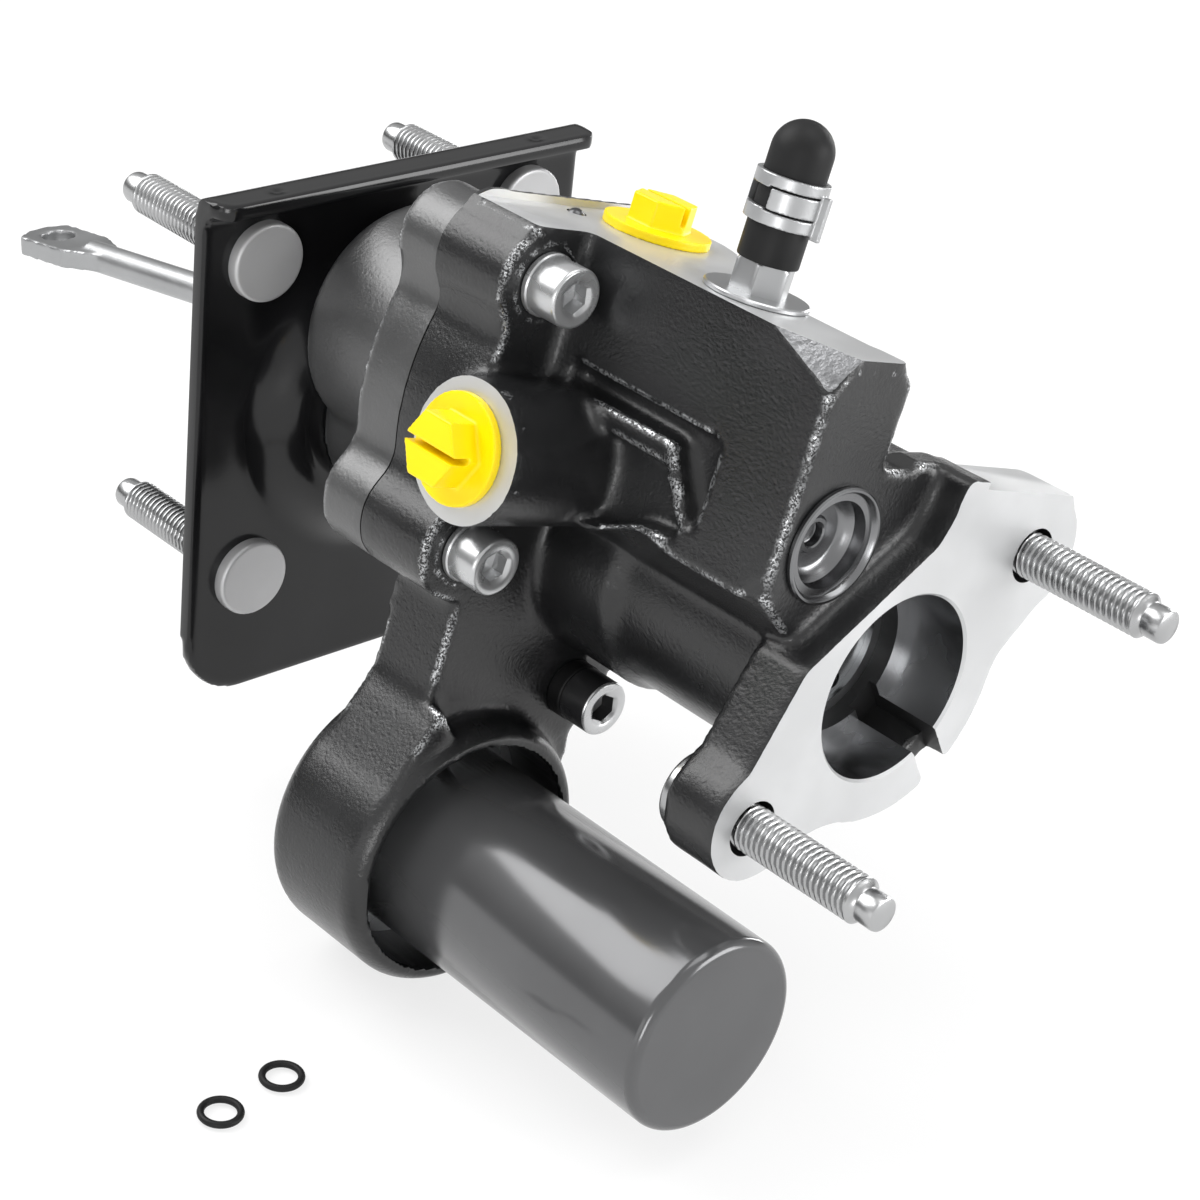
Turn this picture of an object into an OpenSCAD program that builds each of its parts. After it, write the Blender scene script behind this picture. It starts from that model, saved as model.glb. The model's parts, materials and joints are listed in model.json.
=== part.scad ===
// Hydraulic brake booster. X points forward along the pedal rod, Z is up, and
// the origin lies on the pedal rod axis at the firewall face of the bracket.

/* [Firewall bracket] */
// Width of the bracket plate
bracket_w = 110.2; // [104:1:130]
// Height of the plate above the pedal rod axis
bracket_up = 57.5; // [56:0.5:66]
// Depth of the plate below the pedal rod axis
bracket_down = 70.8; // [68:0.1:90]
// Thickness of the bracket sheet
bracket_t = 3.5; // [2.5:0.5:5]
// Depth of the folded top edge
bracket_lip = 11; // [10:0.5:20]
// Radius of the lower corners of the plate
bracket_corner_r = 16; // [8:1:20]
// Outer radius of the raised dish
dish_r = 43; // [40:1:44]
// Depth of the raised dish
dish_depth = 8; // [6:0.5:10]
// Spacing of the firewall studs across the car
stud_pitch_y = 77.4; // [76.6:0.2:84]
// Spacing of the firewall studs up the car
stud_pitch_z = 80.5; // [79:0.5:86]
// Thread diameter of the firewall studs
firewall_stud_d = 10; // [8:1:12]
// Length of the firewall studs behind the bracket
firewall_stud_reach = 47.4; // [30:0.2:60]
// Diameter of the firewall stud heads
stud_head_d = 18.9; // [16:0.1:20]
// Thickness of the firewall stud heads
stud_head_t = 3; // [2:0.5:5]

/* [Casting] */
// Lean of the casting about the pedal rod axis, in degrees
body_tilt = 15; // [10:1:20]
// Thickness of the rear cover flange
cover_flange_t = 14; // [10:1:18]
// Distance from the firewall face to the cover joint
seam_x = 70.5; // [66:0.5:76]
// Thickness of the main housing flange
housing_flange_t = 21; // [16:1:26]
// Radius of the round part of the flange outline
flange_r = 53.5; // [52:0.5:56]
// Sideways place of the flange centre
flange_u = -5.5; // [-7:0.5:-4]
// Height of the flange centre
flange_w = 25.2; // [24:0.2:26]
// Height of the machined top face
top_w = 66.9; // [66.5:0.1:70]
// Distance from the pedal rod axis to the top cover screw
screw_top_v = 74.1; // [73.5:0.1:74.5]
// Height of the middle cover screws along the valve axis line
screw_mid_v = 29.9; // [29:0.1:31]
// Distance of the middle cover screws from that line
screw_mid_h = 39.1; // [38.5:0.1:40]
// Depth of the low cover screws along that line
screw_low_v = 23.9; // [23:0.1:25]
// Distance of the low cover screws from that line
screw_low_h = 28.8; // [28:0.1:30]
// Radius of the lobes round the cover screws
lobe_r = 12; // [11:0.5:13]
// Radius of the hollows beside the lobes
neck_r = 9; // [7:0.5:12]
// Thread diameter of the cover screws
cover_screw_d = 8; // [6:1:9]
// Diameter of the cover screw heads
cover_head_d = 13; // [11:0.5:14]
// Height of the cover screw heads
cover_head_h = 8; // [6:0.5:9]

/* [Rear cover] */
// Radius of the round valve chamber behind the cover flange
drum_r = 28; // [27:0.5:30]
// Radius of the hub that seats on the bracket
hub_r = 25; // [23.5:0.5:26]
// Radius of the threaded neck that passes through the bracket
neck_thread_r = 14; // [12.5:0.5:15]
// Reach of the neck behind the firewall face
neck_reach = 10; // [6:1:14]

/* [Power piston] */
// Radius of the power piston bore
bore_r = 17.5; // [17:0.1:18.5]
// Radial running clearance of the pistons and spool
run_gap = 0.04; // [0.02:0.01:0.08]
// Length of the power piston
piston_l = 25; // [20:1:30]
// Outer radius of the tube in front of the flange
tube_r = 26.4; // [25.5:0.1:28]
// Outer radius of the thick collar of the tube
collar_r = 28.2; // [27:0.1:30]
// Length of the thick collar
collar_l = 22; // [12:1:30]
// Stroke of the input rod
input_stroke = 32; // [24:1:34]
// Radius of the output rod
output_rod_r = 5.5; // [4.5:0.5:6.5]

/* [Control valve] */
// Distance between the piston axis and the spool axis
valve_offset = 38.4; // [38:0.1:39]
// Direction of the spool axis from the casting's upright, in degrees
valve_swing = 41.8; // [41:0.1:43]
// Radius of the spool
spool_r = 6.5; // [5.5:0.1:7]
// Wall of the spool sleeve
sleeve_wall = 3; // [2:0.5:4]
// Travel of the spool
spool_travel = 2.5; // [1.5:0.1:3]
// Radius of the spool plug rim
plug_rim_r = 12.6; // [12:0.1:13]

/* [Valve block] */
// Left side of the valve block
block_left = -41; // [-42:0.5:-40]
// Right side of the upper valve block
block_right = -17; // [-18:0.5:-15]
// Front face of the valve block
block_front = 163.5; // [162:0.5:164]
// Underside of the valve block
block_low = 10; // [8:0.5:14]
// Slope of the upper front edges
block_chamfer = 6; // [4:0.5:8]

/* [Master cylinder flange] */
// Front face of the master cylinder flange
master_x = 171.5; // [169:0.5:176]
// Thickness of the flange
master_t = 14.2; // [12:0.2:18]
// Spacing of the master cylinder studs
master_pitch = 85.7; // [84:0.1:90]
// Angle of the stud line from level, in degrees
master_angle = 28.6; // [24:0.1:34]
// Thread diameter of the master cylinder studs
master_stud_d = 10; // [8:1:11]
// Reach of the master cylinder studs in front of the flange
master_stud_reach = 36.2; // [24:0.2:50]
// Radius of the pilot bore
pilot_r = 20.85; // [20:0.05:22]
// Depth of the pilot bore
pilot_depth = 16; // [10:1:20]
// Radius of the flange ends
lug_r = 13.4; // [12.5:0.1:14.5]

/* [Accumulator] */
// Radius of the accumulator can
can_r = 22.4; // [20:0.1:23]
// Front end of the accumulator can
can_front = 177.6; // [150:0.5:190]
// Sideways place of the can axis
can_y = -47.2; // [-50:0.2:-46]
// Height of the can axis
can_z = -64.6; // [-66:0.2:-63]
// Outer radius of the ring round the can
ring_r = 31.7; // [31:0.1:33]
// Inner radius of the ring round the can
ring_bore_r = 27.4; // [26:0.1:28]
// Front of the ring round the can
ring_front = 100; // [96:0.5:106]

/* [Ports] */
// Distance along the casting to the top port
top_port_x = 87.5; // [86:0.5:89]
// Sideways place of the top port
top_port_u = -17.5; // [-19:0.5:-16]
// Distance along the casting to the side port
side_port_x = 97; // [96:0.5:98]
// Height of the side port
side_port_w = 20.8; // [20:0.2:22]
// Face of the side port boss
side_port_face = -65; // [-67:0.5:-63]
// Distance along the casting to the return fitting
return_x = 127.4; // [124:0.2:132]
// Sideways place of the return fitting
return_u = -27.8; // [-28.6:0.2:-27]
// Length of the rubber cap on the return fitting
cap_l = 29.5; // [20:0.5:36]

/* [Pedal rod] */
// Distance from the firewall face back to the pedal rod ball
ball_back = 51.5; // [48:0.5:60]
// Length of the pedal rod from its ball to its eye
pedal_rod_l = 77.8; // [50:0.2:110]
// Sideways lean of the pedal rod as it hangs, in degrees
pedal_yaw = 5.3; // [0:0.1:8]
// Droop of the pedal rod as it hangs, in degrees
pedal_droop = 7.1; // [0:0.1:9]
// Diameter of the pedal rod
pedal_rod_d = 8; // [6:0.5:9]
// Diameter of the eye of the pedal rod
pedal_eye_d = 9; // [7:0.5:10]

/* [Hidden] */
$fn = 64;
// Clearance between pieces that are bolted or slid together
fit = 0.3;
// Faces that a cut runs past, so that nothing thin is left
over = 1;
cover_back = bracket_t + dish_depth + 2;
hub_back = bracket_t + dish_depth;
lip_corner_r = 5;
stud_shoulder = 0.55;
stud_recess = 5;
plug_flange_r = 11.8;
cap_r = 6.5;
clamp_t = 1.2;
clamp_w = 10;
flange_x = seam_x + housing_flange_t;
cover_front = seam_x - 0.15;
cover_flange_x = seam_x - cover_flange_t;
master_back = master_x - master_t;
bore_end = master_x - pilot_depth;
valve_angle = valve_swing - body_tilt;
valve_u = -valve_offset * sin(valve_swing);
valve_w = valve_offset * cos(valve_swing);
sleeve_r = spool_r + sleeve_wall;
plug_thread_r = sleeve_r + 1;
plug_back = block_front - 12;
// A place given along and across the line from the piston axis to the spool axis
function on_line(v, h) = [-v * sin(valve_swing) - h * cos(valve_swing), v * cos(valve_swing) - h * sin(valve_swing)];
screw_uw = [on_line(screw_top_v, 0), on_line(screw_mid_v, screw_mid_h), on_line(screw_mid_v, -screw_mid_h),
    on_line(-screw_low_v, -screw_low_h)];
low_screw_uw = on_line(-screw_low_v, screw_low_h);
flange_v = flange_w * cos(valve_swing) - flange_u * sin(valve_swing);
flange_h = -flange_w * sin(valve_swing) - flange_u * cos(valve_swing);
screw_washer_t = 1.6;
sleeve_h = 4;
sleeve_wall_r = cover_head_d / 2 + 0.2;
// Lever and pins, seen in the plane of the two axes
piston_pin_rise = 7.5;
pin_r = 2.5;
lever_t = 4;
half_swing = (input_stroke - spool_travel) / 2;
lever_rest = atan(half_swing / valve_offset);
lever_x = 43.5;
input_pin_x = lever_x - half_swing;
piston_pin_x = lever_x - half_swing * (valve_offset - piston_pin_rise) / valve_offset;
fork_gap = 0.5;
piston_back = seam_x + 2.5;
piston_front = piston_back + piston_l;
input_r = 7;
seat_x = bore_end - 8;
can_wall = 2.5;
ring_back = seam_x - 2;
ring_floor = ring_back + 9;
can_back = ring_floor + 3;
base_front = can_back + 6;
can_neck_r = 9;
arm_back = seam_x + 2;
arm_edge = -47.2;
// The can axis in the leaning frame of the casting
can_u = can_y * cos(body_tilt) - can_z * sin(body_tilt);
can_w = can_y * sin(body_tilt) + can_z * cos(body_tilt);

// Places and profiles that several pieces share

module tilted() rotate([-body_tilt, 0, 0]) children();

module valve_plane() rotate([valve_angle, 0, 0]) children();

module stud_line() rotate([master_angle, 0, 0]) children();

module at_can() translate([0, can_y, can_z]) children();

// A profile drawn in the plane across the pedal rod axis, from x0 to x1
module along_x(x0, x1) translate([x0, 0, 0]) rotate([90, 0, 90]) linear_extrude(height = x1 - x0) children();

module rod_x(x0, x1, r) translate([x0, 0, 0]) rotate([0, 90, 0]) cylinder(h = x1 - x0, r = r);

module cone_x(x0, x1, r0, r1) translate([x0, 0, 0]) rotate([0, 90, 0]) cylinder(h = x1 - x0, r1 = r0, r2 = r1);

module ring_x(x0, x1, r_out, r_in) difference() {
    rod_x(x0, x1, r_out);
    rod_x(x0 - over, x1 + over, r_in);
}

module hex_x(x0, x1, across) translate([x0, 0, 0]) rotate([0, 90, 0])
    cylinder(h = x1 - x0, r = across / sqrt(3), $fn = 6);

// The place of a circle that touches two others from outside
function touching(a, ra, b, rb, r, side) =
    let (d = norm(b - a), p = ra + r, q = rb + r, s = (p * p - q * q + d * d) / (2 * d),
         h = sqrt(max(0, p * p - s * s)), e = (b - a) / d)
    a + s * e + side * h * [-e[1], e[0]];

// A hollow corner between two circles, as a web with a round bite out of it
module hollow(a, ra, b, rb, r, side) {
    bite = 0.05;
    n = touching(a, ra, b, rb, r - bite, side);
    difference() {
        polygon([a, n, b]);
        translate(n) circle(r = r);
    }
}

// A bolt thread is drawn plain here, with a run-out at each end
module stud_x(x0, x1, r, tip) {
    rod_x(x0, x1 - tip, r);
    cone_x(x1 - tip, x1 - tip + r * 0.25, r, r * 0.75);
    rod_x(x1 - tip, x1, r * 0.75);
}

// Compression spring as one closed tube of square-cornered coils
module coil_x(x0, x1, r, wire, turns) {
    steps = 14;
    n = turns * steps;
    lead = (x1 - x0 - 2 * wire) / turns;
    sides = 6;
    function at(i, k) = let (t = 360 * i / steps, x = x0 + wire + lead * i / steps,
        q = 360 * k / sides, rr = r + wire * cos(q))
        [x + wire * sin(q), rr * cos(t), rr * sin(t)];
    pts = [for (i = [0 : n]) for (k = [0 : sides - 1]) at(i, k)];
    walls = [for (i = [0 : n - 1]) for (k = [0 : sides - 1])
        let (k2 = (k + 1) % sides) [i * sides + k, i * sides + k2, (i + 1) * sides + k2, (i + 1) * sides + k]];
    ends = [[for (k = [sides - 1 : -1 : 0]) k], [for (k = [0 : sides - 1]) n * sides + k]];
    polyhedron(points = pts, faces = concat(walls, ends));
}

// Outline of the joint between cover and housing

module flange_outline(top_r = lobe_r) {
    sides = [for (h = [flange_h, -flange_h]) on_line(flange_v, h)];
    low = 35;
    intersection() {
        translate(sides[0]) circle(r = flange_r);
        translate(sides[1]) circle(r = flange_r);
    }
    circle(r = low);
    top_c = on_line(screw_top_v + top_r - lobe_r, 0);
    translate(top_c) circle(r = top_r);
    for (s = [screw_uw[1], screw_uw[2], screw_uw[3], low_screw_uw]) translate(s) circle(r = lobe_r);
    // Hollows on the left are struck from the left arc, and those on the right mirror them
    for (m = [0, 1]) rotate(valve_swing) mirror([m, 0]) rotate(-valve_swing) {
        hollow(sides[0], flange_r, top_c, top_r, neck_r, 1);
        hollow(screw_uw[1], lobe_r, sides[0], flange_r, neck_r, 1);
        hollow(low_screw_uw, lobe_r, screw_uw[1], lobe_r, 15, 1);
        hollow([0, 0], low, low_screw_uw, lobe_r, neck_r, -1);
    }
}

module chamber_outline() {
    circle(r = bore_r + 0.5);
    translate([-9, 0]) square([18, valve_offset]);
    translate([0, valve_offset]) circle(r = 9);
}

// Firewall bracket and its hardware

module bracket_fold() {
    r = bracket_t * 1.3;
    difference() {
        square([bracket_lip, bracket_t + r]);
        translate([bracket_t + r, bracket_t + r]) circle(r = r);
        translate([bracket_t + r, bracket_t]) square([bracket_lip, r + over]);
        translate([bracket_t, bracket_t + r]) square([r + over, r + over]);
        difference() {
            square(bracket_t);
            translate([bracket_t, bracket_t]) circle(r = bracket_t);
        }
    }
}

module plate_outline() {
    half = bracket_w / 2;
    r = bracket_corner_r;
    difference() {
        translate([-half, -bracket_down]) square([bracket_w, bracket_down + bracket_up - bracket_t]);
        for (m = [0, 1]) mirror([m, 0]) translate([r - half, r - bracket_down]) outer_corner(r);
    }
}

// What rounds a convex corner of radius r, drawn about the arc's centre
module outer_corner(r) difference() {
    translate([-r - over, -r - over]) square(r + over);
    circle(r = r);
}

module mounting_bracket() color("#1c1d1f") {
    half = bracket_w / 2;
    difference() {
        union() {
            along_x(0, bracket_t) difference() {
                plate_outline();
                circle(r = dish_r - over);
            }
            translate([0, half, bracket_up]) rotate([90, 0, 0]) linear_extrude(height = bracket_w)
                mirror([0, 1]) bracket_fold();
            rotate([0, 90, 0]) rotate_extrude() polygon(dish_section());
        }
        rod_x(-over, hub_back + over, neck_thread_r + 0.2);
        for (y = [-1, 1]) for (z = [-1, 1])
            translate([0, y * stud_pitch_y / 2, z * stud_pitch_z / 2])
                rod_x(-over, bracket_t + over, firewall_stud_d / 2 + stud_shoulder + 0.05);
        for (m = [0, 1]) mirror([0, m, 0]) {
            translate([bracket_lip / 2 + 1, half - 17, bracket_up - bracket_t - over])
                cylinder(h = bracket_t + 2 * over, r = 1);
            translate([bracket_lip - lip_corner_r, half - lip_corner_r, bracket_up - bracket_lip])
                linear_extrude(height = 2 * bracket_lip) rotate(180) outer_corner(lip_corner_r);
        }
    }
}

// Radius and distance from the firewall of a smooth step between two flats
function s_curve(t) = (1 - cos(180 * t)) / 2;
dish_flat_r = dish_r - 15;
function dish_section() =
    let (n = 12, back = [for (i = [0 : n]) [dish_flat_r + 15 * i / n, dish_depth * (1 - s_curve(i / n))]])
    concat([[neck_thread_r, dish_depth], [neck_thread_r, hub_back], [dish_flat_r, hub_back]],
        [for (p = back) [p[0] + 0.01, p[1] + bracket_t]], [for (i = [n : -1 : 0]) back[i]]);

module firewall_studs() color("silver")
    for (y = [-1, 1]) for (z = [-1, 1])
        translate([0, y * stud_pitch_y / 2, z * stud_pitch_z / 2]) {
            rod_x(bracket_t, bracket_t + stud_head_t - 1, stud_head_d / 2);
            cone_x(bracket_t + stud_head_t - 1, bracket_t + stud_head_t, stud_head_d / 2, stud_head_d / 2 - 1);
            rod_x(0, bracket_t + over, firewall_stud_d / 2 + stud_shoulder);
            mirror([1, 0, 0]) stud_x(-over, firewall_stud_reach, firewall_stud_d / 2, 6);
        }

module bracket_nut() color("#8f9296") difference() {
    hex_x(0.5, dish_depth, 36);
    rod_x(-over, dish_depth + over, neck_thread_r);
}

// Castings

module rear_cover() color("#2b2c2e") difference() {
    union() {
        tilted() along_x(cover_flange_x, seam_x) flange_outline(lobe_r - 0.8);
        tilted() translate([0, valve_u * 0.47, valve_w * 0.75]) {
            rod_x(cover_back + 2, cover_flange_x + over, drum_r);
            cone_x(cover_back, cover_back + 2, drum_r - 2, drum_r);
        }
        rod_x(hub_back, cover_flange_x + over, hub_r);
        rod_x(-neck_reach, hub_back + over, neck_thread_r);
    }
    valve_plane() {
        along_x(hub_back + 6, seam_x + over) chamber_outline();
        along_x(seam_x - 2, seam_x + over) seal_path(2.5, 4.5);
    }
    rod_x(-neck_reach - over, hub_back + 8, input_r + 0.06);
    rod_x(hub_back - 6, hub_back - 2, input_r + 2.5);
    tilted() for (s = concat(screw_uw, [low_screw_uw]))
        translate([0, s[0], s[1]]) rod_x(cover_flange_x + 1.2, seam_x + over, cover_screw_d / 2 + 0.03);
}

module master_outline() {
    lug = master_pitch / 2;
    web = 24.5;
    hub = 30.5;
    difference() {
        union() {
            circle(r = hub);
            translate([-lug + 2.2, 0]) circle(r = lug_r);
            translate([lug, 0]) circle(r = lug_r + 0.6);
            polygon([[-lug + 2, lug_r - 1], [-17, web + 1], [lug - 11, 31], [lug + 9.8, 9.8],
                [lug, -lug_r], [20, -18], [-20, -16], [-lug + 2, 1 - lug_r]]);
            hollow([-lug + 2.2, 0], lug_r, [0, 0], hub, 22, 1);
            hollow([-lug + 2.2, 0], lug_r, [0, 0], hub, 22, -1);
            hollow([lug, 0], lug_r + 0.6, [0, 0], hub, 22, 1);
        }
        // Straight edge beside the valve block, running up into the sloping top of the far lug
        polygon([[-40, web], [lug - 22.5, web], [lug - 16.5, 27.6], [lug - 13.9, 30.2], [lug - 11, 31],
            [lug - 12, 60], [-40, 60]]);
    }
}

module block_side() polygon([[flange_x - over, top_w], [block_front, top_w], [block_front, block_low + 12],
    [block_front - 6, block_low + 4.5], [block_front - 28, block_low + 4.5], [block_front - 36, block_low + 7],
    [block_front - 50, block_low], [flange_x - over, block_low]]);

module upper_block() difference() {
    translate([0, block_right, 0]) rotate([90, 0, 0]) linear_extrude(height = block_right - block_left) block_side();
    // Sloped right edge and the rough corner at the front left
    translate([flange_x - 2 * over, block_right, top_w - block_chamfer]) rotate([45, 0, 0])
        cube([90, 2 * block_chamfer, 2 * block_chamfer]);
    translate([block_front, block_left, top_w - 7.4]) rotate([0, -36.2, -71.7]) translate([0, -20, -20])
        cube([20, 40, 40]);
}

module top_web() {
    translate([0, 0, 44]) linear_extrude(height = top_w - 44)
        polygon([[flange_x - over, -20], [flange_x + 5, -2.5], [block_front - 23, -25.5], [flange_x + 30, -30]]);
    translate([seam_x, screw_uw[0][0], screw_uw[0][1]])
        cube([housing_flange_t, 28, top_w - screw_uw[0][1]]);
}

module main_housing() color("#232426") difference() {
    union() {
        tilted() along_x(seam_x, flange_x) flange_outline();
        accumulator_arm();
        rod_x(flange_x - over, flange_x + collar_l, collar_r);
        cone_x(flange_x + collar_l, flange_x + collar_l + 2, collar_r, tube_r);
        rod_x(flange_x + collar_l, master_back + over, tube_r);
        stud_line() along_x(master_back, master_x) master_outline();
        tilted() {
            difference() {
                union() {
                    upper_block();
                    lower_block();
                }
                side_pockets();
            }
            top_web();
            top_port_pad();
            side_port_boss();
            low_screw_pad();
        }
    }
    rod_x(seam_x - over, bore_end + over, bore_r);
    rod_x(bore_end, master_x + over, pilot_r);
    cone_x(master_x - 0.6, master_x + 0.1, pilot_r, pilot_r + 0.7);
    valve_plane() translate([0, 0, valve_offset]) {
        rod_x(seam_x - over, block_front + over, sleeve_r + 0.02);
        rod_x(plug_back, block_front + over, plug_thread_r);
    }
    stud_line() {
        translate([bore_end - 2, -0.5, -24.5]) cube([pilot_depth + 4, 7, 22]);
        translate([master_x - 5, -0.5, -40]) cube([8, 7, 22]);
        for (s = [-1, 1]) translate([0, s * master_pitch / 2, 0]) {
            rod_x(master_back - over, master_x + over, master_stud_d / 2 + stud_shoulder + 0.05);
            rod_x(master_x - stud_recess, master_x + over, master_stud_d / 2 + 1.2);
        }
    }
    tilted() {
        for (s = concat(screw_uw, [low_screw_uw]))
            translate([0, s[0], s[1]]) rod_x(seam_x - over, flange_x + 6, cover_screw_d / 2 + 0.4);
        for (s = screw_uw)
            translate([0, s[0], s[1]]) rod_x(flange_x, flange_x + cover_head_h + 4, cover_head_d / 2 + 1.2);
        translate([top_port_x, top_port_u, top_w - 14]) cylinder(h = 20, r = 7);
        translate([top_port_x, top_port_u, top_w]) cylinder(h = 20, r = plug_flange_r + 0.4);
        translate([return_x, return_u, top_w - 12]) cylinder(h = 20, r = 5.05);
        translate([side_port_x, side_port_face - over, side_port_w]) rotate([-90, 0, 0]) cylinder(h = 16, r = 7);
        translate([passage_x(), passage_u(), top_w - 4]) cylinder(h = 6, r = 2.2);
    }
    at_can() {
        rod_x(ring_floor, ring_front + over, ring_bore_r);
        rod_x(ring_back + 2.5, ring_floor + over, can_neck_r + 0.02);
    }
}

// Small drilled passage in the top face, closed by a pressed ball
function passage_x() = seam_x + 6.5;
function passage_u() = flange_u - 26;

module accumulator_arm() {
    at_can() {
        cone_x(ring_back, ring_back + 2.5, ring_r - 2, ring_r);
        rod_x(ring_back + 2.5, ring_front - 4, ring_r);
        cone_x(ring_front - 4, ring_front - 1.5, ring_r, ring_r - 1.3);
        cone_x(ring_front - 1.5, ring_front, ring_r - 1.3, ring_r - 3.2);
    }
    tilted() {
        along_x(arm_back, flange_x) arm_outline();
        along_x(arm_back, ring_front - 2.7) arm_flare();
    }
}

// The arm from the left middle screw down to the ring
module arm_outline() difference() {
    polygon([[arm_edge, screw_uw[1][1] - 4], [arm_edge, can_w + 31], [can_u, can_w],
        [can_u + 31, can_w + 6], [low_screw_uw[0] + 6, low_screw_uw[1] - 10], [0, 0]]);
    translate([low_screw_uw[0] + 19, low_screw_uw[1] - 14.5]) circle(r = 10);
}

// The hollow corner where the left side of the arm runs into the ring
module arm_flare() difference() {
    polygon([[arm_edge, can_w + 36], [can_u - 28, can_w + 14], [can_u, can_w], [arm_edge + 6, can_w + 29],
        [arm_edge + 2, can_w + 33]]);
    translate([arm_edge - 12, can_w + 38]) circle(r = 12);
}

module lower_block() difference() {
    along_x(flange_x - over, block_front) polygon([[block_left + 1, 44.5], [block_left + 1, block_low + 6],
        [block_left + 13, block_low - 3], [-18, block_low - 6], [5, 15], [5, 44.5]]);
    translate([block_front, 0, block_low - 12]) rotate([0, -45, 0]) translate([0, -60, -8]) cube([30, 120, 14]);
}

module top_port_pad() intersection() {
    translate([top_port_x, top_port_u, 30]) cylinder(h = top_w - 30, r = 18.6);
    translate([seam_x, -80, 0]) cube([100, 160, 100]);
}

module side_port_boss() {
    translate([side_port_x + 1, -30, side_port_w]) rotate([90, 0, 0]) cylinder(h = -side_port_face - 30, r = 15.2);
}

module low_screw_pad() translate([arm_back, low_screw_uw[0], low_screw_uw[1] - 1])
    rotate([45, 0, 0]) translate([0, -10, -10]) cube([flange_x - arm_back + 0.6, 20, 20]);

module side_pockets() {
    depth = 5;
    translate([0, block_left + depth, 0]) rotate([90, 0, 0]) linear_extrude(height = depth + 40) {
        polygon([[side_port_x, 41.3], [140, 41.3], [141.3, 39.5], [141, 22], [139.5, 22], [132, 32.5], [130, 36],
            [side_port_x, 36]]);
        polygon([[side_port_x, 31.2], [129, 31.2], [138, 19], [126, 17], [118, 13.5], [108, 11]]);
    }
}

// Joint and fasteners of the castings

module housing_seal() color("#111111") valve_plane() along_x(seam_x - 1.95, seam_x - 0.05) seal_path(2.55, 4.45);

module seal_edge(d) {
    circle(r = bore_r + 0.5 + d);
    translate([-9 - d, 0]) square([18 + 2 * d, valve_offset]);
    translate([0, valve_offset]) circle(r = 9 + d);
}

module seal_path(inner, outer) difference() {
    seal_edge(outer);
    seal_edge(inner);
}

module socket_head(x) difference() {
    union() {
        rod_x(x, x + cover_head_h - 0.8, cover_head_d / 2);
        cone_x(x + cover_head_h - 0.8, x + cover_head_h, cover_head_d / 2, cover_head_d / 2 - 0.8);
    }
    hex_x(x + cover_head_h / 2, x + cover_head_h + over, 6);
}

module cover_screws() color("#c9cbcd") tilted()
    for (s = screw_uw) translate([0, s[0], s[1]]) {
        rod_x(cover_flange_x + 2, flange_x + screw_washer_t + over, cover_screw_d / 2);
        socket_head(flange_x + screw_washer_t);
    }

module cover_screw_washers() color("#d5d7d8") tilted()
    for (s = screw_uw) translate([0, s[0], s[1]])
        ring_x(flange_x, flange_x + screw_washer_t, cover_head_d / 2 + 0.4, cover_screw_d / 2 + 0.05);

module sleeve_screw() color("#b9bcbe") tilted() translate([0, low_screw_uw[0], low_screw_uw[1]]) {
    rod_x(cover_flange_x + 2, flange_x + 0.6 + sleeve_h + over, cover_screw_d / 2);
    socket_head(flange_x + 0.6 + sleeve_h);
}

module screw_sleeve() color("#161616") tilted() translate([0, low_screw_uw[0], low_screw_uw[1]])
    ring_x(flange_x + 0.6, flange_x + 0.6 + sleeve_h, sleeve_wall_r, cover_screw_d / 2 + 0.05);

// Power piston group

module power_piston() color("#9a9da0") difference() {
    union() {
        rod_x(piston_back, piston_front, bore_r - run_gap);
        rod_x(piston_front - over, piston_front + 6, 9);
        valve_plane() for (s = [-1, 1]) translate([piston_pin_x - 6, s * 11.25 - 1.75, -4])
            cube([piston_back - piston_pin_x + 6 + over, 3.5, 15]);
    }
    translate([piston_back + 14, 0, 0]) ring_x(0, 4.5, bore_r + over, bore_r - 3);
    rod_x(piston_front - 4, piston_front + 6 + over, output_rod_r + 0.02);
    rod_x(piston_back - over, piston_back + 8, 9);
    valve_plane() translate([piston_pin_x, -20, piston_pin_rise]) rotate([-90, 0, 0]) cylinder(h = 40, r = pin_r);
}

module piston_seal() color("#0f0f0f") translate([piston_back + 14.2, 0, 0])
    ring_x(0, 4.1, bore_r - run_gap, bore_r - 2.95);

module piston_return_spring() color("#8a8d90")
    coil_x(piston_front + 0.3, seat_x - 0.3, 12.5, 1.4, 5.5);

module spring_retainer() color("#b0b3b6") difference() {
    union() {
        ring_x(seat_x, seat_x + 2, bore_r - 0.05, output_rod_r + 2);
        ring_x(seat_x - 6, seat_x + over, output_rod_r + 3.5, output_rod_r + 2);
    }
    for (a = [0 : 60 : 300]) rotate([a, 0, 0]) translate([0, 12.5, 0]) rod_x(seat_x - over, seat_x + 3, 2);
}

module retainer_ring() color("#6f7275") difference() {
    ring_x(seat_x + 2, seat_x + 3.4, bore_r - 0.02, bore_r - 2.4);
    translate([seat_x, -2.5, 0]) cube([5, 5, 20]);
}

module output_rod() color("#c0c2c4") {
    rod_x(piston_front - 4, seat_x + 1, output_rod_r);
    cone_x(seat_x + 1, seat_x + 2, output_rod_r, output_rod_r - 1);
}

// Input group, drawn with the brake released

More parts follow.
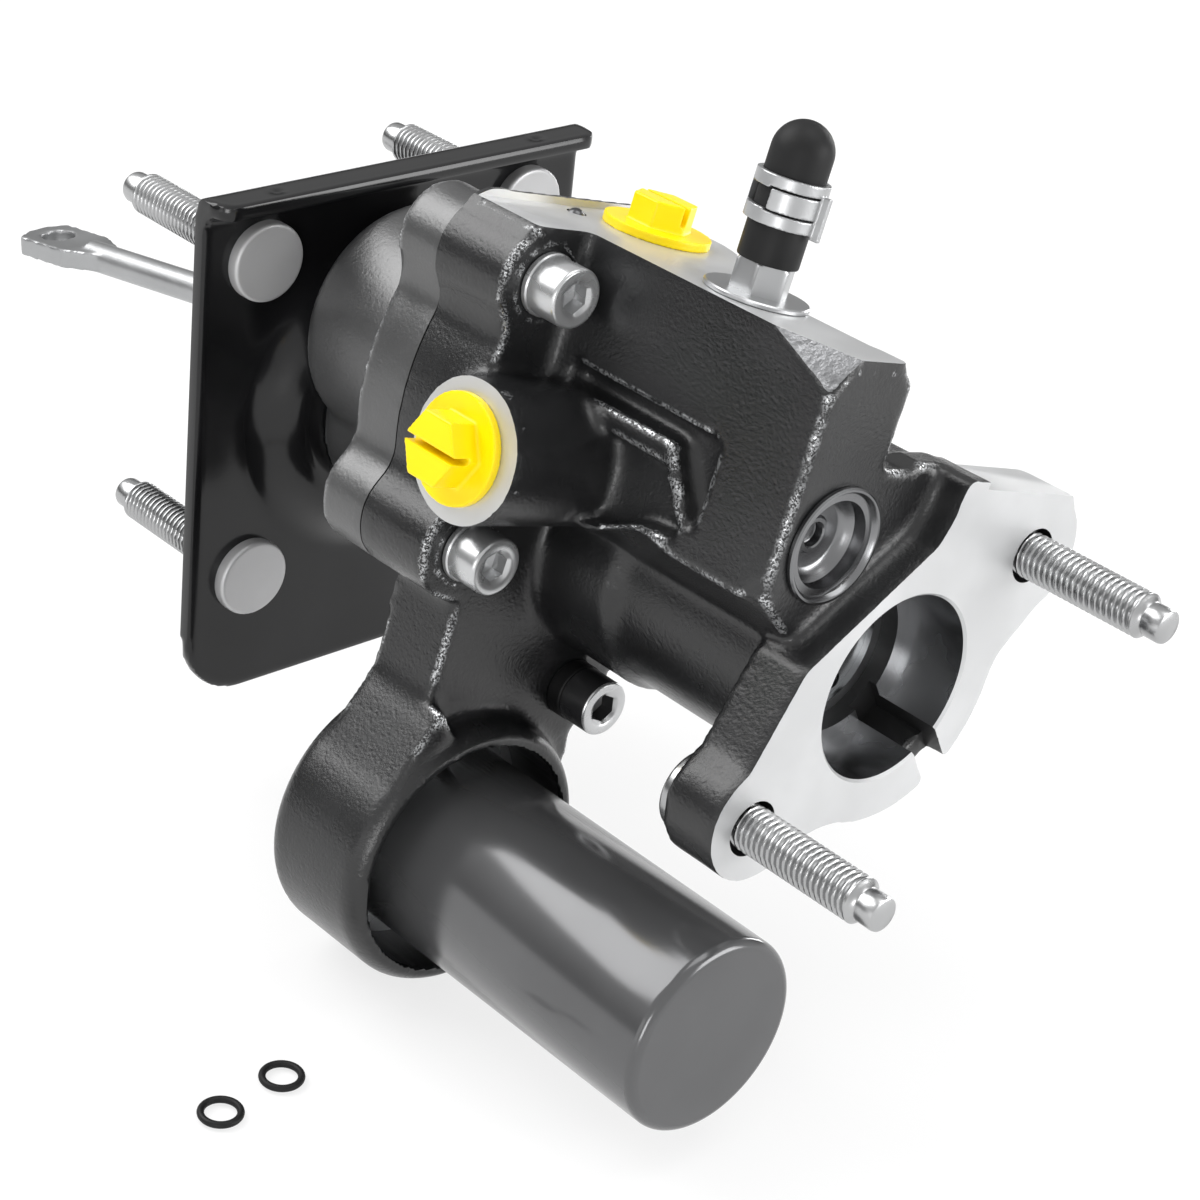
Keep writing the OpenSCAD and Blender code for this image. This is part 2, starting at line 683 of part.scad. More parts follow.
module input_rod() color("#a3a6a9") difference() {
    rod_x(-ball_back - 6, input_pin_x + 6, input_r);
    translate([-ball_back, 0, 0]) sphere(r = pedal_ball_r() + 0.05);
    cone_x(-ball_back - 6.1, -ball_back, pedal_ball_r() + 0.6, pedal_ball_r() - 0.4);
    valve_plane() {
        translate([input_pin_x - 11.5, -2.6, -input_r - over]) cube([20, 5.2, 2 * input_r + 2 * over]);
        translate([input_pin_x - 7, -input_r - over, 3.5]) cube([16, 2 * input_r + 2 * over, input_r]);
        translate([input_pin_x, -20, 0]) rotate([-90, 0, 0]) cylinder(h = 40, r = pin_r);
    }
}

function pedal_ball_r() = 5;

module input_seal() color("#101010") ring_x(hub_back - 5.9, hub_back - 2.1, input_r + 2.5, input_r + 0.01);

module input_pin() color("#d0d2d4") valve_plane()
    translate([input_pin_x, -input_r + 0.6, 0]) rotate([-90, 0, 0]) cylinder(h = 2 * input_r - 1.2, r = pin_r);

module piston_pin() color("#d0d2d4") valve_plane()
    translate([piston_pin_x, -13, piston_pin_rise]) rotate([-90, 0, 0]) cylinder(h = 26, r = pin_r);

module hang() translate([-ball_back, 0, 0]) rotate([0, 0, pedal_yaw]) rotate([0, -pedal_droop, 0]) children();

module pedal_rod() color("#b7babd") hang() {
    eye = 14;
    sphere(r = pedal_ball_r());
    rod_x(-14, -3, 3);
    cone_x(-18, -14, pedal_rod_d / 2, 3);
    rod_x(-pedal_rod_l + eye, -17.9, pedal_rod_d / 2);
    difference() {
        translate([0, 0, -2.5]) linear_extrude(height = 5)
            polygon([[-pedal_rod_l + 22, -3.5], [-pedal_rod_l + 11, -8], [-pedal_rod_l - 6, -8],
                [-pedal_rod_l - 9, -3], [-pedal_rod_l - 9, 3], [-pedal_rod_l - 6, 8],
                [-pedal_rod_l + 11, 8], [-pedal_rod_l + 22, 3.5]]);
        translate([-pedal_rod_l, 0, -4]) cylinder(h = 8, r = pedal_eye_d / 2);
    }
}

module rod_grommet() color("#141414") difference() {
    rod_x(-ball_back - 8.2, -ball_back + 4, input_r + 1.8);
    rod_x(-ball_back - 6, -ball_back + 5, input_r + 0.02);
    rod_x(-ball_back - 9, -ball_back - 5, input_r - 0.6);
}

// Valve lever and spool

module valve_lever() color("#7f8386") valve_plane()
    translate([lever_x, 0, valve_offset]) rotate([90, 0, 0]) rotate([0, 0, -lever_rest]) difference() {
        union() {
            cylinder(h = lever_t, r = 4.5, center = true);
            translate([0, 0, -lever_t / 2]) linear_extrude(height = lever_t) lever_arm();
        }
        cylinder(h = lever_t + 2, r = 1.52, center = true);
        translate([0, piston_pin_rise - valve_offset, -lever_t]) linear_extrude(height = 2 * lever_t)
            slot(pin_r + fork_gap, 20, 3);
    }

// Upright slot with a round top, from the pin down and up
module slot(r, down, up) {
    translate([-r, -down]) square([2 * r, down + up]);
    translate([0, up]) circle(r = r);
}

module lever_arm() polygon([[-3.2, 1.5], [3.2, 1.5], [6.5, -valve_offset + 16], [6.5, -valve_offset - 6.5],
    [-6.5, -valve_offset - 6.5], [-6.5, -valve_offset + 16]]);

module at_spool() valve_plane() translate([0, 0, valve_offset]) children();

module lever_pin() color("#d0d2d4") at_spool()
    translate([lever_x, -5.2, 0]) rotate([-90, 0, 0]) cylinder(h = 10.4, r = 1.5);

module spool_valve() color("#aaadb0") at_spool() {
    difference() {
        rod_x(lever_x - 6, seam_x + 12, 5.4);
        translate([lever_x - 8, -2.3, -8]) cube([16.5, 4.6, 16]);
        translate([lever_x, -8, 0]) rotate([-90, 0, 0]) cylinder(h = 16, r = 1.5);
    }
    rod_x(seam_x + 11.9, plug_back - 16, 4);
    for (x = [seam_x + 12, seam_x + 34, seam_x + 52])
        rod_x(x, x + 8, spool_r - run_gap);
}

module spool_sleeve() color("#8d9093") at_spool() difference() {
    ring_x(seam_x + 6, plug_back - 4, sleeve_r, spool_r);
    for (x = [seam_x + 26, seam_x + 46]) ring_x(x, x + 4, sleeve_r + over, sleeve_r - 1.2);
}

module spool_spring() color("#777a7d") at_spool()
    coil_x(plug_back - 15.7, plug_back - 0.3, 4.6, 0.7, 4);

module spool_plug() color("#4a4c4f") at_spool() difference() {
    union() {
        rod_x(plug_back, block_front - 3.2, plug_thread_r - 1);
        rod_x(plug_back, plug_back + 3, plug_thread_r - 0.02);
        rod_x(block_front - 3.3, block_front + over, plug_thread_r - 1);
        rod_x(block_front, block_front + 1.3, plug_rim_r);
    }
    // Stepped cup with a small raised eye in its floor
    rod_x(block_front + 0.7, block_front + 2, plug_rim_r - 1.8);
    cone_x(block_front - 0.4, block_front + 0.8, plug_rim_r - 4, plug_rim_r - 2.8);
    difference() {
        rod_x(block_front - 7, block_front, plug_rim_r - 4);
        rod_x(block_front - 8, block_front - 5.5, 3.8);
    }
    rod_x(block_front - 8.5, block_front, 2.4);
}

module spool_plug_seal() color("#101010") at_spool()
    ring_x(plug_back + 3.2, plug_back + 5.2, plug_thread_r - 0.02, plug_thread_r - 0.98);

module spool_plug_ring() color("#6f7275") at_spool()
    ring_x(block_front - 2.4, block_front - 1.2, plug_thread_r - 0.02, plug_thread_r - 0.98);

// Accumulator

module accumulator_can() color("#4c4e51") at_can() difference() {
    union() {
        rod_x(can_back, can_front - 2.4, can_r);
        cone_x(can_front - 2.4, can_front - 0.8, can_r, can_r - 0.6);
        cone_x(can_front - 0.8, can_front, can_r - 0.6, can_r - 2.2);
    }
    rod_x(can_back - over, can_front - 3.5, can_r - can_wall);
}

module accumulator_base() color("#85888b") at_can() difference() {
    union() {
        rod_x(ring_floor, can_back, can_r + 1.6);
        rod_x(can_back, base_front, can_r - can_wall - 0.02);
        rod_x(ring_back + 3, ring_floor, can_neck_r);
    }
    ring_x(ring_back + 5, ring_back + 7.2, can_neck_r + over, can_neck_r - 1.2);
    rod_x(ring_back + 5.5, base_front - 1.5, 3.4);
    rod_x(ring_back, base_front + over, 1.8);
}

module accumulator_piston() color("#97999c") at_can() difference() {
    rod_x(base_front + 0.3, base_front + 16.3, can_r - can_wall - run_gap);
    rod_x(base_front + 4.3, base_front + 17.3, can_r - can_wall - 4);
    ring_x(base_front + 6, base_front + 9, can_r, can_r - can_wall - 2.5);
}

module accumulator_piston_seal() color("#101010") at_can()
    ring_x(base_front + 6.05, base_front + 8.95, can_r - can_wall - run_gap, can_r - can_wall - 2.48);

module accumulator_seal() color("#101010") at_can()
    ring_x(ring_back + 5.1, ring_back + 7.1, can_neck_r, can_neck_r - 1.18);

module accumulator_ring() color("#6f7275") at_can() difference() {
    ring_x(can_back, can_back + 1.6, ring_bore_r - 0.02, can_r + 0.3);
    translate([can_back - 1, -3, 0]) cube([4, 6, 40]);
}

module check_ball() color("#d8dadb") at_can() translate([ring_back + 8, 0, 0]) sphere(r = 2.9);

module check_spring() color("#777a7d") at_can() coil_x(ring_back + 11, base_front - 1.7, 2.6, 0.35, 3);

// Ports and plugs

module return_fitting() color("#c4c6c8") tilted() translate([return_x, return_u, top_w]) difference() {
    union() {
        translate([0, 0, -9]) cylinder(h = 11, r = 5);
        translate([0, 0, 1.2]) cylinder(h = 6.3, r = 6.4, $fn = 6);
        translate([0, 0, 7]) cylinder(h = cap_l - 7, r = 4);
    }
    translate([0, 0, -10]) cylinder(h = cap_l + 20, r = 2.2);
}

module return_washer() color("#cfd1d2") tilted() translate([return_x, return_u, top_w]) difference() {
    cylinder(h = 1.2, r = 11.2);
    translate([0, 0, -over]) cylinder(h = 4, r = 5.05);
}

module rubber_cap() color("#1a1a1a") tilted() translate([return_x, return_u, top_w + 7.6]) difference() {
    union() {
        cylinder(h = cap_l - 6.8, r = cap_r);
        translate([0, 0, cap_l - 6.8]) sphere(r = cap_r + 0.02);
    }
    translate([0, 0, -over]) cylinder(h = cap_l - 5, r = 4.02);
}

// Spring clamp: a band whose narrow tongue runs through a window and ends in two tabs
module hose_clamp() color("#a9acae") tilted() translate([return_x, return_u, top_w + 15.5]) {
    difference() {
        cylinder(h = clamp_w, r = cap_r + clamp_t);
        translate([0, 0, -over]) cylinder(h = clamp_w + 2 * over, r = cap_r);
        rotate(-110) translate([0, -4, clamp_w * 0.3]) cube([20, 8, clamp_w * 0.42]);
        for (z = [0.26, 0.72]) rotate(-75) translate([0, -1, clamp_w * z]) cube([20, 10, 0.45]);
    }
    rotate(12) translate([cap_r + clamp_t - 0.4, -0.5, -0.8]) cube([2.2, 1.1, clamp_w * 0.9]);
}

// A moulded transit plug: stem, flange and a hexagonal grip
module port_plug(grip_r, grip_h) {
    translate([0, 0, -8]) cylinder(h = 9, r = 6.9);
    cylinder(h = 2, r = plug_flange_r);
    difference() {
        translate([0, 0, 1.9]) cylinder(h = grip_h, r = grip_r, $fn = 6);
        translate([-10, -0.7, grip_h - 2.4]) cube([20, 1.4, 5]);
    }
}

module top_port_plug() color("#ffe600") tilted() translate([top_port_x, top_port_u, top_w]) port_plug(7.2, 6);

module side_port_plug() color("#ffe600") tilted() translate([side_port_x, side_port_face, side_port_w])
    rotate([90, 0, 0]) port_plug(8, 7);

module passage_ball() color("#55585b") tilted() translate([passage_x(), passage_u(), top_w - 1.2]) sphere(r = 2.15);

module master_studs() color("silver") stud_line()
    for (s = [-1, 1]) translate([0, s * master_pitch / 2, 0]) {
        stud_x(master_x - stud_recess - over, master_x + master_stud_reach, master_stud_d / 2, 5);
        rod_x(master_back - over, master_x - stud_recess, master_stud_d / 2 + stud_shoulder);
        rod_x(master_back - 4, master_back, 9);
    }

module spare_o_rings() color("#0c0c0c") for (p = [[ring_x0(), -119, 0], [ring_x0() - 2.5, -101.5, 0]])
    translate([p[0], p[1], can_z - ring_r + 0.8]) rotate_extrude() translate([4.2, 0]) circle(r = 0.8);

// The two loose rings lie level with the lowest point of the casting
function ring_x0() = side_port_x + 12.5;

mounting_bracket();
firewall_studs();
bracket_nut();
rear_cover();
main_housing();
housing_seal();
cover_screws();
cover_screw_washers();
sleeve_screw();
screw_sleeve();
power_piston();
piston_seal();
piston_return_spring();
spring_retainer();
retainer_ring();
output_rod();
input_rod();
input_seal();
input_pin();
piston_pin();
pedal_rod();
rod_grommet();
valve_lever();
lever_pin();
spool_valve();
spool_sleeve();
spool_spring();
spool_plug();
spool_plug_seal();
spool_plug_ring();
accumulator_can();
accumulator_base();
accumulator_piston();
accumulator_piston_seal();
accumulator_seal();
accumulator_ring();
check_ball();
check_spring();
return_fitting();
return_washer();
rubber_cap();
hose_clamp();
top_port_plug();
side_port_plug();
passage_ball();
master_studs();
spare_o_rings();
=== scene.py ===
"""Looks of a hydraulic brake booster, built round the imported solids.

Shapes are given in millimetres and turned into the frame's metres when an object is made.
"""

import json
import logging
import math
from dataclasses import dataclass, replace
from enum import Enum
from typing import Callable, Optional, Sequence

import bmesh
import bpy
import numpy as np
from mathutils import Matrix, Vector

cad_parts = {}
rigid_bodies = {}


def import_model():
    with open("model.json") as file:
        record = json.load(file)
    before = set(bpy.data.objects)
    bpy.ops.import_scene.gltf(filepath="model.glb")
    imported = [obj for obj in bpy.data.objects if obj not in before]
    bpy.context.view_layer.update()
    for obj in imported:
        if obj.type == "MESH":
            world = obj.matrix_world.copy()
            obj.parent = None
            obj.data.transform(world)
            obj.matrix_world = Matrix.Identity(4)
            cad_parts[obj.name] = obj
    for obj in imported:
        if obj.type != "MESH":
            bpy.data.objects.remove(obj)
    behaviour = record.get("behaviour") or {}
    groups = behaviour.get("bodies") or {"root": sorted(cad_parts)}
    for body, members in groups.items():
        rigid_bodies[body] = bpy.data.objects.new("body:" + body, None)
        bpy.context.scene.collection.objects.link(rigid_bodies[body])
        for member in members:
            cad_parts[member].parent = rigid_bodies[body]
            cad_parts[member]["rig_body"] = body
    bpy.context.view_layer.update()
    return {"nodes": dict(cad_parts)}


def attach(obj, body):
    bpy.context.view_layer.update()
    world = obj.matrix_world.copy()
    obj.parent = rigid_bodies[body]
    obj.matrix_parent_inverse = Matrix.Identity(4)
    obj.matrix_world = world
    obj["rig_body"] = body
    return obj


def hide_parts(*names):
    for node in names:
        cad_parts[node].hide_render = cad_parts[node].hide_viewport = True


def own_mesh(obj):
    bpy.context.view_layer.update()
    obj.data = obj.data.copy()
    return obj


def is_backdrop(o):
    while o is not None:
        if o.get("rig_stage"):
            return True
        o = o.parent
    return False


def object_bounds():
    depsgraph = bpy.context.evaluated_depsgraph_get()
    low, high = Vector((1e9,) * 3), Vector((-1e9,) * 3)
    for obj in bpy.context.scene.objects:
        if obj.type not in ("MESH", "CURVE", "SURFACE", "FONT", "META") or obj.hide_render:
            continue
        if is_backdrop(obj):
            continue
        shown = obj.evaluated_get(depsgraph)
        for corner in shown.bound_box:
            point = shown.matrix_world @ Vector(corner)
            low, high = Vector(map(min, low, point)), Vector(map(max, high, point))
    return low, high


LOG = logging.getLogger("booster")
MM = 0.001
ROUND = 96  # steps round a turned piece that is seen closely
THREAD_ROWS = 12  # rows of a thread in one turn
RUN_OUT = 8  # rows over which a thread fades at each end

UPRIGHT = Matrix.Rotation(math.radians(-90), 4, "Y")
CASTING_LEAN = Matrix.Rotation(math.radians(-15.0), 4, "X")
VALVE_LEAN = Matrix.Rotation(math.radians(26.8), 4, "X")
STUD_LINE = Matrix.Rotation(math.radians(28.6), 4, "X")

# Measures that several pieces share, in millimetres
TOP_FACE = 66.9
MASTER_FACE = 171.5
STUD_R = 5.0
STUD_HALF_PITCH = 42.85
VALVE_OFFSET = 38.4
CAN_AXIS = (-47.2, -64.6)
RETURN_PORT = (127.4, -27.8)
SCREWS = ((-49.39, 55.24), (-49.08, -3.77), (9.22, 48.35), (37.39, 1.38))
LOW_SCREW = (-5.54, -37.01)


class Slot(str, Enum):
    """Material slots of the record that a finish belongs to."""

    CAST = "black_cast_iron"
    GLOSS = "gloss_black_steel"
    ZINC = "zinc_steel"
    BRIGHT = "bright_steel"
    DARK = "dark_steel"
    CAN = "grey_coated_steel"
    YELLOW = "yellow_plastic"
    RUBBER = "black_rubber"
    SPRING = "spring_steel"


class Surface(Enum):
    """How the fine marks of a finish run."""

    GRAIN = "grain"
    BRUSHED = "brushed"
    TURNED = "turned"


# Node trees


class Tree:
    """A short way to place and join nodes."""

    def __init__(self, tree: bpy.types.NodeTree) -> None:
        """Starts from an empty tree."""
        self.tree = tree
        tree.nodes.clear()

    def add(self, kind: str, inputs: Optional[dict] = None, **settings: object) -> bpy.types.Node:
        """Places one node.

        Args:
            kind: Blender's name of the node type.
            inputs: values or output sockets by input name or number.
            settings: properties of the node.

        Returns:
            The new node.
        """
        node = self.tree.nodes.new(kind)
        for key, value in settings.items():
            setattr(node, key, value)
        for key, value in (inputs or {}).items():
            socket = node.inputs[key]
            if isinstance(value, bpy.types.NodeSocket):
                self.tree.links.new(value, socket)
            else:
                socket.default_value = value
        return node

    def math(self, operation: str, *values: object) -> bpy.types.NodeSocket:
        """One Math node on values or sockets, as its output socket."""
        return self.add("ShaderNodeMath", dict(enumerate(values)), operation=operation).outputs[0]

    def ramp(self, value: bpy.types.NodeSocket, low: object, high: object, a: float = 0.0,
             b: float = 1.0) -> bpy.types.NodeSocket:
        """Maps low to high smoothly onto a to b."""
        ends = {"Value": value, "From Min": low, "From Max": high, "To Min": a, "To Max": b}
        return self.add("ShaderNodeMapRange", ends, interpolation_type="SMOOTHSTEP").outputs["Result"]

    def mix(self, factor: object, a: object, b: object) -> bpy.types.NodeSocket:
        """Mixes two colours."""
        return self.add("ShaderNodeMix", {0: factor, 6: a, 7: b}, data_type="RGBA").outputs[2]

    def noise(self, where: object, scale: object, detail: float, roughness: float = 0.5) -> bpy.types.NodeSocket:
        """Noise at a place, as its value."""
        inputs = {"Vector": where, "Scale": scale, "Detail": detail, "Roughness": roughness}
        return self.add("ShaderNodeTexNoise", inputs).outputs["Fac"]

    def edge(self) -> bpy.types.NodeSocket:
        """How strongly the piece bulges here, from its own attribute."""
        return self.add("ShaderNodeAttribute", attribute_name="edge").outputs["Fac"]


class SharedEffects:
    """Shader node groups that several finishes use."""

    def __init__(self) -> None:
        """Builds each group once."""
        self.marks = {Surface.GRAIN: self._grain(), Surface.BRUSHED: self._brush(),
                      Surface.TURNED: self._turning()}
        self.wear = self._wear()

    @staticmethod
    def _group(name: str, numbers_in: dict[str, float], outs: Sequence[str]) -> tuple[Tree, object]:
        """An empty group that takes a place and some numbers.

        Args:
            name: name of the group.
            numbers_in: default of each number by name.
            outs: names of the numbers it gives.

        Returns:
            Its tree and the sockets of its inputs.
        """
        tree = bpy.data.node_groups.new(name, "ShaderNodeTree")
        tree.interface.new_socket("Vector", in_out="INPUT", socket_type="NodeSocketVector")
        for key, default in numbers_in.items():
            tree.interface.new_socket(key, in_out="INPUT", socket_type="NodeSocketFloat").default_value = default
        for key in outs:
            tree.interface.new_socket(key, in_out="OUTPUT", socket_type="NodeSocketFloat")
        t = Tree(tree)
        return t, t.add("NodeGroupInput").outputs

    def _marks(self, name: str) -> tuple[Tree, bpy.types.NodeSocket, bpy.types.NodeSocket]:
        """An empty group for the fine marks of a surface, with its place and size sockets."""
        t, given = self._group(name, {"Size": 900.0}, ("Height", "Tone"))
        return t, given["Vector"], given["Size"]

    @staticmethod
    def _closed(t: Tree, height: bpy.types.NodeSocket, tone: bpy.types.NodeSocket) -> bpy.types.NodeTree:
        """Ends a group of marks with its fine height and broad tone."""
        t.add("NodeGroupOutput", {"Height": height, "Tone": tone})
        return t.tree

    def _grain(self) -> bpy.types.NodeTree:
        """Grain of a coated casting or a moulding."""
        t, where, size = self._marks("fine_grain")
        fine = t.noise(where, size, 4.0, 0.62)
        pits = t.add("ShaderNodeTexVoronoi", {"Vector": where, "Scale": t.math("MULTIPLY", size, 0.42)})
        dents = t.ramp(pits.outputs["Distance"], 0.0, 0.5)
        height = t.math("ADD", t.math("MULTIPLY", fine, 0.75), t.math("MULTIPLY", dents, 0.25))
        return self._closed(t, height, t.noise(where, 38.0, 4.0))

    def _brush(self) -> bpy.types.NodeTree:
        """Straight fine lines of a ground or milled face."""
        t, where, size = self._marks("straight_lines")
        drawn = t.add("ShaderNodeMapping", {"Vector": where, "Scale": (0.06, 1.0, 1.0)}).outputs[0]
        return self._closed(t, t.noise(drawn, size, 3.0, 0.55), t.noise(where, 45.0, 3.0))

    def _turning(self) -> bpy.types.NodeTree:
        """Rings left by a lathe tool round the X axis of the given place."""
        t, where, size = self._marks("turning_lines")
        parts = t.add("ShaderNodeSeparateXYZ", {"Vector": where}).outputs
        square = t.math("ADD", t.math("POWER", parts["Y"], 2.0), t.math("POWER", parts["Z"], 2.0))
        along = t.add("ShaderNodeCombineXYZ", {"X": parts["X"], "Y": t.math("SQRT", square)}).outputs[0]
        return self._closed(t, t.noise(along, size, 2.0), t.noise(where, 50.0, 3.0))

    def _wear(self) -> bpy.types.NodeTree:
        """Mask of rubbed raised edges, broken up into specks."""
        t, given = self._group("edge_wear", {"Edge": 0.0, "Start": 0.2, "Full": 0.6, "Speck": 1500.0}, ("Mask",))
        raised = t.ramp(given["Edge"], given["Start"], given["Full"])
        broken = t.ramp(t.noise(given["Vector"], given["Speck"], 2.0, 0.7), 0.46, 0.56)
        kept = t.ramp(t.noise(given["Vector"], 160.0, 2.0), 0.32, 0.50)
        t.add("NodeGroupOutput", {"Mask": t.math("MULTIPLY", t.math("MULTIPLY", raised, broken), kept)})
        return t.tree


# Finishes


@dataclass(frozen=True)
class Finish:
    """One finish: its colour, gloss, fine marks, worn edges and painted shade in grooves."""

    name: str
    slot: Slot
    colour: tuple[float, float, float]
    roughness: float
    metallic: float = 0.0
    specular: float = 0.5
    ior: float = 1.5
    surface: Surface = Surface.GRAIN
    size: float = 900.0
    relief: float = 0.03
    mottle: float = 0.12
    gloss_change: float = 0.12
    worn: Optional[tuple[float, float, float]] = None
    worn_roughness: float = 0.18
    wear_from: float = 0.25
    wear_full: float = 0.7
    speck: float = 1500.0
    bleed: float = 0.0
    # share of the colour kept in hollows such as thread roots: painted shade in the grooves
    painted_groove_shade: Optional[float] = None
    lay: Optional[Matrix] = None

    def material(self, shared: SharedEffects) -> bpy.types.Material:
        """Builds the material.

        Args:
            shared: the shader groups to use.

        Returns:
            A node material that reads Object coordinates.
        """
        made = bpy.data.materials.new(self.name)
        made.use_nodes = True
        made.diffuse_color = (*self.colour, 1.0)
        t = Tree(made.node_tree)
        where = self._where(t)
        lines = t.add("ShaderNodeGroup", {"Vector": where, "Size": self.size},
                      node_tree=shared.marks[self.surface]).outputs
        colour = t.mix(t.ramp(lines["Tone"], 0.3, 0.7), self._tinted(1 - self.mottle), self._tinted(1 + self.mottle))
        rough = t.ramp(lines["Tone"], 0.3, 0.7, self.roughness * (1 - self.gloss_change),
                       self.roughness * (1 + self.gloss_change))
        shader = {"Metallic": self.metallic, "Specular IOR Level": self.specular, "IOR": self.ior}
        if self.bleed:
            shader.update({"Subsurface Weight": self.bleed, "Subsurface Scale": 0.002})
        # darker where the surface is hollow, as in thread roots: painted shade in the grooves
        if self.painted_groove_shade is not None:
            colour = t.mix(t.ramp(t.edge(), -0.35, 0.25, 1.0, 0.0), colour, self._tinted(self.painted_groove_shade))
        if self.worn is not None:
            mask = t.add("ShaderNodeGroup", {"Vector": where, "Edge": t.edge(), "Start": self.wear_from,
                                             "Full": self.wear_full, "Speck": self.speck},
                         node_tree=shared.wear).outputs["Mask"]
            colour = t.mix(mask, colour, (*self.worn, 1.0))
            rough = t.math("MULTIPLY_ADD", mask, self.worn_roughness - self.roughness, rough)
            shader["Metallic"] = t.math("MAXIMUM", mask, self.metallic)
        bump = t.add("ShaderNodeBump", {"Strength": 1.0, "Distance": self.relief * MM, "Height": lines["Height"]})
        shader.update({"Base Color": colour, "Roughness": rough, "Normal": bump.outputs[0]})
        surface = t.add("ShaderNodeBsdfPrincipled", shader)
        t.add("ShaderNodeOutputMaterial", {"Surface": surface.outputs[0]})
        return made

    def _where(self, t: Tree) -> bpy.types.NodeSocket:
        """Object coordinates, laid along the piece's own axis where it has one."""
        where = t.add("ShaderNodeTexCoord").outputs["Object"]
        if self.lay is None:
            return where
        back = self.lay.inverted()
        return t.add("ShaderNodeMapping", {"Vector": where, "Location": back.to_translation(),
                                           "Rotation": back.to_euler("XYZ")}).outputs[0]

    def _tinted(self, share: float) -> tuple[float, ...]:
        """The finish's colour times a share."""
        return tuple(c * share for c in self.colour) + (1.0,)


class Finishes:
    """Every finish of the booster, made into a material when first asked for."""

    cast = Finish("black_satin_casting", Slot.CAST, (0.011, 0.0112, 0.0117), 0.25, ior=1.52, size=1500.0,
                  relief=0.13, mottle=0.25, gloss_change=0.14, worn=(0.55, 0.56, 0.57), wear_from=0.11,
                  wear_full=0.34, speck=1900.0)
    # the same black cast iron as the housing, painted lighter: painted light on the cover's drum
    cover_cast_painted_light = Finish("grey_black_casting", Slot.CAST, (0.035, 0.0354, 0.036), 0.32, ior=1.8, size=1500.0,
                        relief=0.08, mottle=0.2, worn=(0.55, 0.56, 0.57), wear_from=0.13, wear_full=0.40,
                        speck=1900.0)
    rough_corner = Finish("rough_corner", Slot.CAST, (0.16, 0.162, 0.166), 0.28, metallic=0.8, relief=0.5,
                          mottle=0.6)
    machined = Finish("machined_face", Slot.CAST, (0.59, 0.595, 0.60), 0.40, metallic=0.7,
                      surface=Surface.BRUSHED, size=1500.0, relief=0.004, mottle=0.05, gloss_change=0.1)
    bored = Finish("turned_bore", Slot.CAST, (0.34, 0.343, 0.35), 0.26, metallic=1.0, surface=Surface.TURNED,
                   size=1500.0, relief=0.004, mottle=0.06)
    # near black inside bores and holes and on the joint faces: partly the black of the cast insides, partly painted
    # shade in deep bores and in the joint's gap, where the real faces are machined metal
    dark_bore = Finish("dark_bore", Slot.CAST, (0.012, 0.012, 0.0125), 0.45, surface=Surface.TURNED,
                       size=1200.0, relief=0.01, mottle=0.2)
    gloss = Finish("gloss_black_coat", Slot.GLOSS, (0.006, 0.006, 0.0065), 0.16, specular=0.42, size=420.0,
                   relief=0.006, mottle=0.3, gloss_change=0.2)
    head = Finish("satin_stud_head", Slot.ZINC, (0.46, 0.46, 0.465), 0.40, metallic=0.45, size=1700.0,
                  relief=0.012, mottle=0.05)
    # the zinc studs carry painted shade in their thread grooves
    zinc = Finish("bright_zinc", Slot.ZINC, (0.64, 0.645, 0.65), 0.26, metallic=1.0, size=700.0, relief=0.004,
                  mottle=0.07, painted_groove_shade=0.10)
    stainless = Finish("bright_screw_steel", Slot.ZINC, (0.55, 0.555, 0.56), 0.28, metallic=0.8, relief=0.006,
                       mottle=0.05)
    black_steel = Finish("blackened_steel", Slot.ZINC, (0.02, 0.02, 0.021), 0.3, size=1500.0, relief=0.01)
    hex_steel = Finish("bright_hex_steel", Slot.BRIGHT, (0.44, 0.445, 0.45), 0.30, metallic=1.0,
                       surface=Surface.BRUSHED, size=1300.0, relief=0.006, mottle=0.05)
    rod = Finish("satin_rod_steel", Slot.BRIGHT, (0.38, 0.385, 0.39), 0.36, metallic=0.9, size=1500.0,
                 relief=0.02, mottle=0.07)
    inner_steel = Finish("ground_inner_steel", Slot.BRIGHT, (0.48, 0.485, 0.49), 0.25, metallic=1.0,
                         surface=Surface.TURNED, size=1400.0, relief=0.004, mottle=0.05)
    plug_steel = Finish("dark_turned_plug", Slot.DARK, (0.21, 0.212, 0.217), 0.24, metallic=1.0,
                        surface=Surface.TURNED, size=1300.0, relief=0.012, mottle=0.1)
    ball = Finish("dark_ball_steel", Slot.DARK, (0.10, 0.101, 0.104), 0.3, metallic=1.0, size=1500.0,
                  relief=0.002)
    can = Finish("grey_can_coat", Slot.CAN, (0.10, 0.1005, 0.103), 0.17, metallic=0.5, surface=Surface.TURNED,
                 relief=0.003, mottle=0.04, gloss_change=0.05)
    yellow = Finish("yellow_moulding", Slot.YELLOW, (0.86, 0.64, 0.0), 0.32, specular=0.3, relief=0.01,
                    mottle=0.03, bleed=0.06)
    rubber = Finish("matt_black_rubber", Slot.RUBBER, (0.007, 0.007, 0.0073), 0.55, specular=0.25, size=1600.0,
                    relief=0.015, mottle=0.2)
    spring = Finish("oiled_spring_steel", Slot.SPRING, (0.42, 0.43, 0.44), 0.3, metallic=1.0,
                    surface=Surface.BRUSHED, size=1500.0, relief=0.005, mottle=0.08)
    clip = Finish("grey_clamp_steel", Slot.SPRING, (0.42, 0.425, 0.43), 0.36, metallic=0.8,
                  surface=Surface.BRUSHED, size=1600.0, relief=0.008, mottle=0.06)

    def __init__(self) -> None:
        """Builds the shared groups."""
        self.shared = SharedEffects()
        self.made: dict[str, bpy.types.Material] = {}

